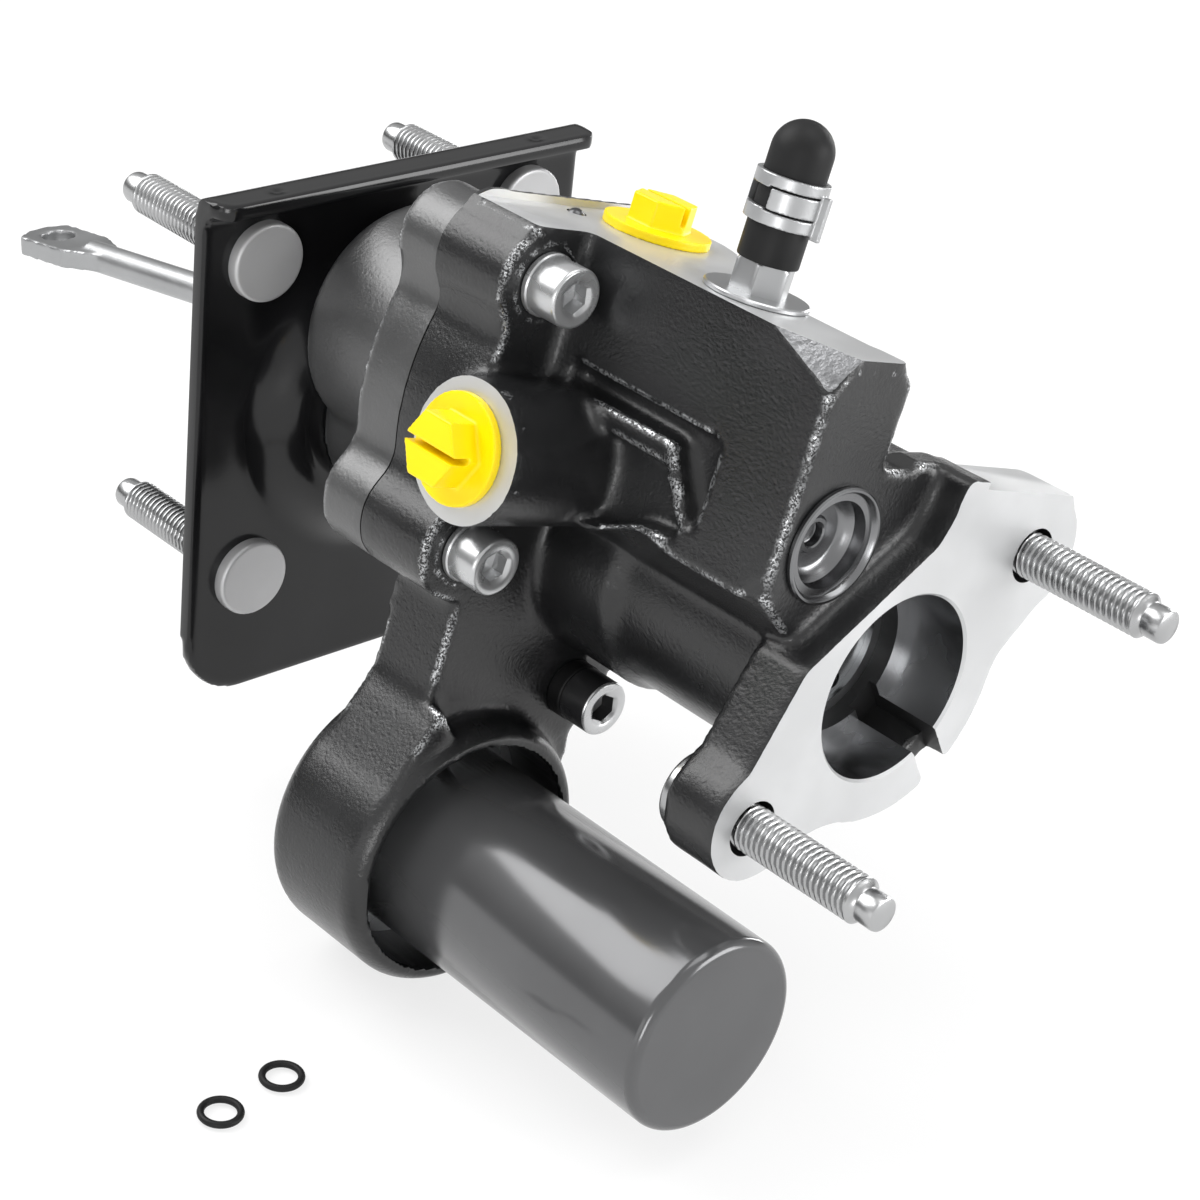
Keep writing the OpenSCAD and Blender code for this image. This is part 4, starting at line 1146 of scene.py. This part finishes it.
    def _faces(self) -> list[Cut]:
        """The housing's flat faces."""
        corner = CASTING_LEAN @ Matrix.Translation((163.5, -41.0, TOP_FACE - 7.4)) @ Matrix.Rotation(
            math.radians(-71.7), 4, "Z") @ Matrix.Rotation(math.radians(-36.2), 4, "Y")
        lug = STUD_LINE @ Matrix.Rotation(math.radians(-45.57), 4, "X")
        seam = Matrix.Translation(self.ring_foot) @ Matrix.Rotation(
            math.atan2(self.ring_way[2], self.ring_way[1]), 4, "X")
        return [
            Cut(block((-0.25, -20, -20), (20, 20, 20)).moved(corner), Finishes.rough_corner),
            Cut(block((150, 6, self.lug_top), (175, 70, 75)).moved(lug), Finishes.machined),
            Cut(block((72, -70, TOP_FACE), (175, 60, 90)).moved(CASTING_LEAN), Finishes.machined),
            Cut(block((80, -90, -5), (116, self.port_face, 50)).moved(CASTING_LEAN), Finishes.machined),
            Cut(block((MASTER_FACE, -150, -150), (MASTER_FACE + 30, 150, 150)), Finishes.machined),
            # the housing's joint face is near black: painted shade in the gap between the castings
            Cut(block((60, -200, -150), (self.seam + self.seam_gap, 0, 150)).moved(seam), Finishes.dark_bore),
        ]

    def _bores(self) -> list[Cut]:
        """The main bore with its pilot, the valve bore and the drain notch under the pilot."""
        return [
            # the deep bores are near black: painted shade inside them
            Cut(rod(self.seam - 2, self.bore_end + 1, self.bore_r), Finishes.dark_bore),
            Cut(rod(self.bore_end, MASTER_FACE + 3, self.pilot_r), Finishes.bored),
            Cut(cone(MASTER_FACE - 0.7, MASTER_FACE + 0.2, self.pilot_r - 0.1, self.pilot_r + 0.75),
                Finishes.machined),
            Cut(rod(70, 164.5, 9.52, 0, VALVE_OFFSET).moved(VALVE_LEAN), Finishes.dark_bore),
            Cut(rod(151.5, 164.6, 10.5, 0, VALVE_OFFSET).moved(VALVE_LEAN), Finishes.bored),
            Cut(block((153.5, -0.5, -24.5), (174, 6.5, -2.5)).moved(STUD_LINE), Finishes.dark_bore),
            Cut(block((166.5, -0.5, -40), (175, 6.5, -18)).moved(STUD_LINE), Finishes.dark_bore),
        ]

    def _small_holes(self) -> list[Cut]:
        """Holes for the studs, screws, can and ports."""
        studs = [rod(x, 174, r, s * STUD_HALF_PITCH, 0, 48).moved(STUD_LINE)
                 for s in (-1, 1) for x, r in ((156, 5.6), (166.5, 6.2))]
        screws = self._holes(69, 98, 4.4) + self._holes(self.flange_front, 103.5, 7.7, low=False)
        at_can = Matrix.Translation((0, *CAN_AXIS))
        ports = [rod(77.5, 103, 27.4).moved(at_can), rod(71, 78.6, 9.02).moved(at_can)]
        for x, across, deep, r in self.top_holes:
            place = CASTING_LEAN @ Matrix.Translation((x, across, TOP_FACE - deep)) @ UPRIGHT
            ports.append(rod(0, deep + 6, r, count=48).moved(place))
        sideways = CASTING_LEAN @ Matrix.Translation((97.0, self.port_face + 15, 20.8)) @ Matrix.Rotation(
            math.radians(-90), 4, "Z")
        ports.append(rod(0, 20, 7.0, count=48).moved(sideways))
        return [*[Cut(s, Finishes.dark_bore) for s in studs], *[Cut(s) for s in screws],
                *[Cut(s, Finishes.dark_bore) for s in ports]]


@dataclass
class CoverFasteners:
    """Socket screws of the joint with their washers, and the low screw on its sleeve."""

    start: float = 58.5
    seat: float = 93.1
    low_seat: float = 96.1
    head_r: float = 6.5
    head_h: float = 8.0
    socket: float = 6.0
    shank_r: float = 4.0

    def screw(self, seat: float) -> Shell:
        """A socket head screw whose head sits at that distance along X."""
        top = seat + self.head_h
        flats = hexagon(self.socket)
        rows = [(self.start, 0.0), (self.start, self.shank_r - 0.6), (self.start + 0.6, self.shank_r),
                (seat, self.shank_r), (seat, self.head_r - 0.3), (seat + 0.3, self.head_r),
                *rounded(top, self.head_r, 0.8, 1), (top, 4.3), (top - 0.25, 3.85),
                (top - 0.7, np.minimum(flats, 3.6)), (top - 1.0, flats), (top - 4.2, flats), (top - 5.0, 0.0)]
        return turned(rows, ROUND)

    def build(self, finishes: Finishes, repeats: Repeats) -> None:
        """Builds the screws, washers and sleeve.

        Args:
            finishes: where materials are made.
            repeats: the setting-out trees.
        """
        turn = CASTING_LEAN.to_3x3()
        spots = [tuple(turn @ Vector((0, u, w))) for u, w in SCREWS]
        repeats.set_out("joint_screws", self.screw(self.seat), spots, Finishes.stainless, finishes, "cover_screws",
                        turn=6.0, seed=5)
        washer = ring_of([(91.5, 4.3), (91.5, 6.6), (91.8, 6.9), (92.8, 6.9), (93.1, 6.6), (93.1, 4.3),
                          (92.9, 4.05), (91.7, 4.05)])
        repeats.set_out("joint_washers", washer, spots, Finishes.stainless, finishes, "cover_screw_washers")
        place = Matrix.Translation(turn @ Vector((0, *LOW_SCREW)))
        screw = plain_piece("low_screw", self.screw(self.low_seat), Finishes.stainless, finishes, ["sleeve_screw"],
                            place)
        not_in_front = numbers(screw.data.polygons, "normal", 3)[:, 0] < 0.3
        add_finish(screw, Finishes.black_steel, finishes, not_in_front)
        sleeve = ring_of([(92.1, 4.1), (92.1, 6.3), (92.5, 6.7), (95.8, 6.7), (96.1, 6.4), (96.1, 4.1)])
        plain_piece("low_screw_sleeve", sleeve, Finishes.rubber, finishes, ["screw_sleeve"], place)


@dataclass
class MasterStuds:
    """The two studs that carry the master cylinder."""

    back: float = 157.3
    reach: float = 36.2
    collar_r: float = 9.0
    collar_t: float = 4.0

    def build(self, finishes: Finishes, repeats: Repeats) -> None:
        """Builds both studs.

        Args:
            finishes: where materials are made.
            repeats: the setting-out trees.
        """
        end, foot = MASTER_FACE + self.reach, self.back - self.collar_t
        rows = [(foot, 0.0), *rounded(foot, self.collar_r, 0.9, -1), (self.back, self.collar_r),
                (self.back, STUD_R + 0.5), (MASTER_FACE - 5.0, STUD_R + 0.5), (MASTER_FACE - 5.0, STUD_R - 0.1),
                *threaded(MASTER_FACE - 4.6, end - 6, STUD_R), *stud_tip(end, 1)]
        turn = STUD_LINE.to_3x3()
        places = [tuple(turn @ Vector((0, s * STUD_HALF_PITCH, 0))) for s in (-1, 1)]
        repeats.set_out("flange_studs", turned(rows, 48), places, Finishes.zinc, finishes, "master_studs", turn=6.0,
                        seed=8)


@dataclass
class Ports:
    """Yellow transit plugs, and the return fitting with its cap and clamp."""

    cap_r: float = 6.5
    cap_l: float = 29.5
    cap_foot: float = 7.6
    hexagon_corners: float = 12.8

    def build(self, finishes: Finishes) -> None:
        """Builds everything on the ports.

        Args:
            finishes: where materials are made.
        """
        for node, name in (("top_port_plug", "top_plug"), ("side_port_plug", "side_plug")):
            Reworked(node, name, 0.28, [Finishes.yellow], even=4, fill=10).make(finishes)
        Reworked("hose_clamp", "spring_clamp", 0.2, [Finishes.clip], even=2, fill=2).make(finishes)
        place = CASTING_LEAN @ Matrix.Translation((*RETURN_PORT, TOP_FACE)) @ UPRIGHT
        flats = hexagon(self.hexagon_corners * math.cos(math.pi / 6))
        fitting = ring_of([(-9, 2.2), (-9, 4.6), (-8.6, 5.0), (1.2, 5.0), (1.2, np.minimum(flats, 6.3)),
                           (6.9, np.minimum(flats, 6.35)), (7.5, np.minimum(flats, 5.9)), (7.5, 4.0),
                           (self.cap_l - 0.3, 4.0), (self.cap_l, 3.7), (self.cap_l, 2.2)], ROUND)
        plain_piece("hex_fitting", fitting, Finishes.hex_steel, finishes, ["return_fitting"], place, 24.0)
        washer = ring_of([(0, 5.3), (0, 10.9), (0.25, 11.2), (0.9, 11.2), (1.2, 10.9), (1.2, 5.3), (0.95, 5.05),
                          (0.25, 5.05)], ROUND)
        plain_piece("fitting_washer", washer, Finishes.hex_steel, finishes, ["return_washer"], place)
        plain_piece("fitting_cap", self._cap(), Finishes.rubber, finishes, ["rubber_cap"], place)

    def _cap(self) -> Shell:
        """The rubber cap: a sleeve with two raised bands and a round top."""
        foot, r, bore = self.cap_foot, self.cap_r, 4.02
        shoulder = foot + self.cap_l - 6.8
        dome = [(shoulder + r * math.sin(a), r * math.cos(a)) for a in np.linspace(0.0, math.pi / 2, 17)[:-1]]
        return turned([(foot + self.cap_l - 8, 0.0), (foot + self.cap_l - 8, bore), (foot, bore), (foot, r - 0.35),
                       (foot + 0.1, r - 0.1), (foot + 0.4, r), (foot + 7.9, r), (foot + 8.4, r - 0.08),
                       (foot + 17.5, r - 0.08), (foot + 18.2, r), *dome, (shoulder + r, 0.0)])


@dataclass
class ControlValve:
    """The stepped plug at the front of the valve bore, and the spool's spring behind it."""

    front: float = 163.5
    back: float = 151.5
    rim_r: float = 12.6
    thread_r: float = 10.5
    coil: Coil = Coil("valve_return_coil", "spool_spring", 4.6, 0.7, 135.8, 151.2, 4.0, "spool_slide", 2.6)

    def build(self, finishes: Finishes, repeats: Repeats) -> None:
        """Builds the plug and the spring.

        Args:
            finishes: where materials are made.
            repeats: the coil tree.
        """
        f, back, r, core = self.front, self.back, self.thread_r - 0.02, self.thread_r - 1.0
        rows = [(back, 0.0), (back, self.thread_r - 0.6), (back + 0.6, r), (back + 3, r), (back + 3, core),
                (back + 5.2, core), (f - 3.3, core), (f, core)]
        bowl = ((0.0, 0.3), (0.25, 0.0), (1.0, 0.0), (1.3, 0.35), (1.3, 0.8), (0.9, 1.2), (-1.6, 1.9), (-2.4, 2.3),
                (-2.9, 3.0), (-4.4, 4.0), (-5.2, 4.8), (-5.5, 5.6))
        rows += [(f + ahead, self.rim_r - inwards) for ahead, inwards in bowl]
        nub = ((5.5, 4.2), (5.3, 4.0), (4.9, 3.7), (4.9, 2.9), (5.2, 2.6), (7.0, 2.5), (7.2, 2.1), (7.3, 0.0))
        rows += [(f - deep, radius) for deep, radius in nub]
        place = VALVE_LEAN @ Matrix.Translation((0, 0, VALVE_OFFSET))
        finish = replace(Finishes.plug_steel, lay=in_metres(place))
        plain_piece("valve_bore_plug", turned(rows, ROUND), finish, finishes, ["spool_plug"], place, 30.0)
        self.coil.build(finishes, repeats, place)


@dataclass
class Accumulator:
    """Gas can in the ring of the casting, and the spring of its check valve."""

    r: float = 22.4
    back: float = 80.5
    front: float = 177.6
    wall: float = 2.5
    bottom: float = 3.5
    coil: Coil = Coil("check_coil", "check_spring", 2.6, 0.35, 79.5, 84.8, 3.0, "check_ball_slide", 1.5)

    def build(self, finishes: Finishes, repeats: Repeats) -> None:
        """Builds the can and its check spring.

        Args:
            finishes: where materials are made.
            repeats: the coil tree.
        """
        place = Matrix.Translation((0, *CAN_AXIS))
        front, back, inner, inside = self.front, self.back, self.r - self.wall, self.front - self.bottom
        rows = [(inside, 0.0), (inside, inner), (back, inner), (back, self.r - 0.5), (back + 0.5, self.r),
                (front - 2.4, self.r), *rounded(front, self.r, 2.3, 1, 10), (front, 12.0), (front, 0.0)]
        finish = replace(Finishes.can, lay=in_metres(place))
        plain_piece("gas_can", turned(rows, ROUND), finish, finishes, ["accumulator_can"], place, 50.0)
        self.coil.build(finishes, repeats, place)


@dataclass
class PushRods:
    """Pedal rod with its flat eye, the grommet that holds its ball, and the piston's return spring."""

    ball_back: float = 51.5
    r: float = 7.0
    coil: Coil = Coil("piston_coil", "piston_return_spring", 12.5, 1.4, 98.3, 147.2, 5.5, "piston_slide", 26.4)

    def build(self, finishes: Finishes, repeats: Repeats) -> None:
        """Builds the rod, the grommet and the spring.

        Args:
            finishes: where materials are made.
            repeats: the coil tree.
        """
        Reworked("pedal_rod", "pedal_push_rod", 0.5, [Finishes.rod], even=3, fill=8).make(finishes)
        section = ((-8.2, -0.6), (-8.2, 0.9), (-7.6, 1.6), (-7.0, 1.8), (-4.2, 1.8), (-3.7, 1.3), (-2.9, 1.3),
                   (-2.4, 1.8), (3.4, 1.8), (4.0, 1.2), (4.0, 0.02), (-6.0, 0.02), (-6.0, -0.6))
        grommet = ring_of([(ahead - self.ball_back, self.r + out) for ahead, out in section])
        plain_piece("ball_grommet", grommet, Finishes.rubber, finishes, ["rod_grommet"])
        self.coil.build(finishes, repeats, Matrix.Identity(4))


@dataclass
class LooseRings:
    """The two spare rings that lie beside the booster."""

    radius: float = 4.2
    section: float = 0.8
    places: Sequence[tuple[float, float, float]] = ((109.5, -119.0, -95.5), (107.0, -101.5, -95.5))

    def build(self, finishes: Finishes, repeats: Repeats) -> None:
        """Builds both rings.

        Args:
            finishes: where materials are made.
            repeats: the ring tree.
        """
        made = new_object("loose_rings", Shell(np.array(self.places), []))
        Repeats.run(made, repeats.loop, {"Radius": self.radius * MM, "Section": self.section * MM,
                                         "Finish": finishes.of(Finishes.rubber)})
        settle(finish_mesh(made), "spare_o_rings")


@dataclass
class InnerPieces:
    """CAD solids that stay as they are and only get their finishes."""

    steel: Sequence[str] = ("power_piston", "spring_retainer", "output_rod", "input_rod", "input_pin", "piston_pin",
                            "lever_pin", "valve_lever", "spool_valve", "spool_sleeve", "accumulator_base",
                            "accumulator_piston", "check_ball")
    spring: Sequence[str] = ("retainer_ring", "spool_plug_ring", "accumulator_ring")
    rubber: Sequence[str] = ("housing_seal", "piston_seal", "input_seal", "spool_plug_seal",
                             "accumulator_piston_seal", "accumulator_seal")

    def build(self, finishes: Finishes, nodes: dict[str, bpy.types.Object]) -> None:
        """Dresses the solids.

        Args:
            finishes: where materials are made.
            nodes: the CAD objects by name.
        """
        for names, finish in ((self.steel, Finishes.inner_steel), (("passage_ball",), Finishes.ball),
                              (self.spring, Finishes.spring), (self.rubber, Finishes.rubber)):
            for name in names:
                for place in nodes[name].material_slots:
                    place.material = finishes.of(finish)
                LOG.info("%s dressed as %s", name, finish.name)


# Stage


@dataclass(frozen=True)
class Lamp:
    """A rectangular area lamp, with its sides in metres and its power in watts."""

    name: str
    at: tuple[float, float, float]
    to: tuple[float, float, float]
    wide: float
    high: float
    power: float

    def hang(self) -> None:
        """Puts the lamp in its place."""
        lamp = bpy.data.lights.new(self.name, "AREA")
        lamp.shape = "RECTANGLE"
        lamp.size, lamp.size_y, lamp.energy = self.wide, self.high, self.power
        made = bpy.data.objects.new(self.name, lamp)
        made.location = self.at
        made.rotation_euler = (Vector(self.to) - Vector(self.at)).to_track_quat("-Z", "Y").to_euler()
        bpy.context.scene.collection.objects.link(made)


@dataclass
class Stage:
    """Floor, world, lamps and camera."""

    camera_at: tuple[float, float, float] = (0.49626, -0.41134, 0.29205)
    camera_turn: tuple[float, float, float, float] = (0.7726715, 0.484563, 0.1695753, 0.3733922)
    lens: float = 87.775
    world: float = 0.80
    ground_share: float = 0.12
    bright_side: tuple[float, float, float] = (-0.40, -0.92, 0.0)
    floor_reach: float = 8000.0
    floor_shadow: float = 0.25
    lamps: Sequence[Lamp] = (
        Lamp("key_softbox", (-0.58, -0.39, 0.80), (0.08, 0.0, 0.0), 0.9, 0.8, 10.5),
        Lamp("top_softbox", (0.30, 0.25, 1.0), (0.08, 0.0, 0.0), 0.7, 0.7, 4.0),
        Lamp("left_softbox", (0.05, -1.15, 0.10), (0.08, 0.0, 0.0), 0.6, 0.5, 1.1),
        Lamp("front_softbox", (1.0, 0.55, 0.22), (0.1, 0.0, 0.0), 0.6, 0.5, 6.5),
        Lamp("front_left_softbox", (0.80, -1.00, 0.10), (0.05, 0.0, 0.0), 0.3, 0.5, 3.6),
        Lamp("side_strip", (-0.10, 1.0, 0.12), (0.0, 0.0, 0.0), 0.16, 0.6, 3.0),
    )

    def build(self) -> None:
        """Builds the whole stage."""
        self._floor()
        self._world()
        for lamp in self.lamps:
            lamp.hang()
        self._camera()

    def _floor(self) -> None:
        """A pale floor that shows as white and keeps a faint shadow."""
        low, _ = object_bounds()
        r = self.floor_reach
        corners = np.array([(-r, -r, 0), (r, -r, 0), (r, r, 0), (-r, r, 0)])
        floor = new_object("floor", Shell(corners, [(0, 1, 2, 3)]))
        floor.data.transform(Matrix.Translation((0, 0, low[2] - 0.0004)))
        made = bpy.data.materials.new("pale_floor")
        made.use_nodes = True
        t = Tree(made.node_tree)
        pale = t.add("ShaderNodeBsdfDiffuse", {"Color": (0.9, 0.9, 0.9, 1.0)})
        white = t.add("ShaderNodeEmission", {"Color": (1.0, 1.0, 1.0, 1.0), "Strength": 1.0})
        path = t.add("ShaderNodeLightPath").outputs
        seen = t.math("MAXIMUM", path["Is Camera Ray"],
                      t.math("MAXIMUM", path["Is Glossy Ray"], path["Is Transmission Ray"]))
        share = t.math("MULTIPLY", seen, 1.0 - self.floor_shadow)
        both = t.add("ShaderNodeMixShader", {0: share, 1: pale.outputs[0], 2: white.outputs[0]})
        t.add("ShaderNodeOutputMaterial", {"Surface": both.outputs[0]})
        floor.data.materials.append(made)
        floor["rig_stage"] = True

    def _world(self) -> None:
        """A soft room that is brighter above, on one side and towards the front."""
        world = bpy.data.worlds.new("soft_room")
        bpy.context.scene.world = world
        world.use_nodes = True
        t = Tree(world.node_tree)
        where = t.add("ShaderNodeTexCoord").outputs["Generated"]
        parts = t.add("ShaderNodeSeparateXYZ", {"Vector": where}).outputs
        side = t.add("ShaderNodeVectorMath", {0: where, 1: self.bright_side}, operation="DOT_PRODUCT")
        above = t.ramp(parts["Z"], 0.06, 0.5, self.world * self.ground_share, self.world)
        sides = t.math("MULTIPLY", above, t.ramp(side.outputs["Value"], -0.8, 0.6, 0.6, 1.0))
        front = t.ramp(parts["X"], -0.15, 0.4, 0.0, self.world)
        light = t.add("ShaderNodeBackground", {"Color": (1.0, 1.0, 1.0, 1.0),
                                               "Strength": t.math("MAXIMUM", sides, front)})
        t.add("ShaderNodeOutputWorld", {"Surface": light.outputs[0]})

    def _camera(self) -> None:
        """The camera at the photograph's angle."""
        data = bpy.data.cameras.new("camera")
        data.lens, data.sensor_width, data.clip_start = self.lens, 36.0, 0.01
        camera = bpy.data.objects.new("camera", data)
        camera.location = self.camera_at
        camera.rotation_mode = "QUATERNION"
        camera.rotation_quaternion = self.camera_turn
        bpy.context.scene.collection.objects.link(camera)
        bpy.context.scene.camera = camera
        bpy.context.scene.view_settings.view_transform = "Standard"


def main() -> None:
    """Loads the frame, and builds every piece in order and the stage."""
    logging.basicConfig(level=logging.INFO, format="%(message)s")
    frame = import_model()
    finishes = Finishes()
    repeats = Repeats()
    FirewallBracket().build(finishes, repeats)
    Castings().build(finishes)
    CoverFasteners().build(finishes, repeats)
    MasterStuds().build(finishes, repeats)
    Ports().build(finishes)
    ControlValve().build(finishes, repeats)
    Accumulator().build(finishes, repeats)
    PushRods().build(finishes, repeats)
    LooseRings().build(finishes, repeats)
    InnerPieces().build(finishes, frame["nodes"])
    Stage().build()


if __name__ == "__main__":
    main()
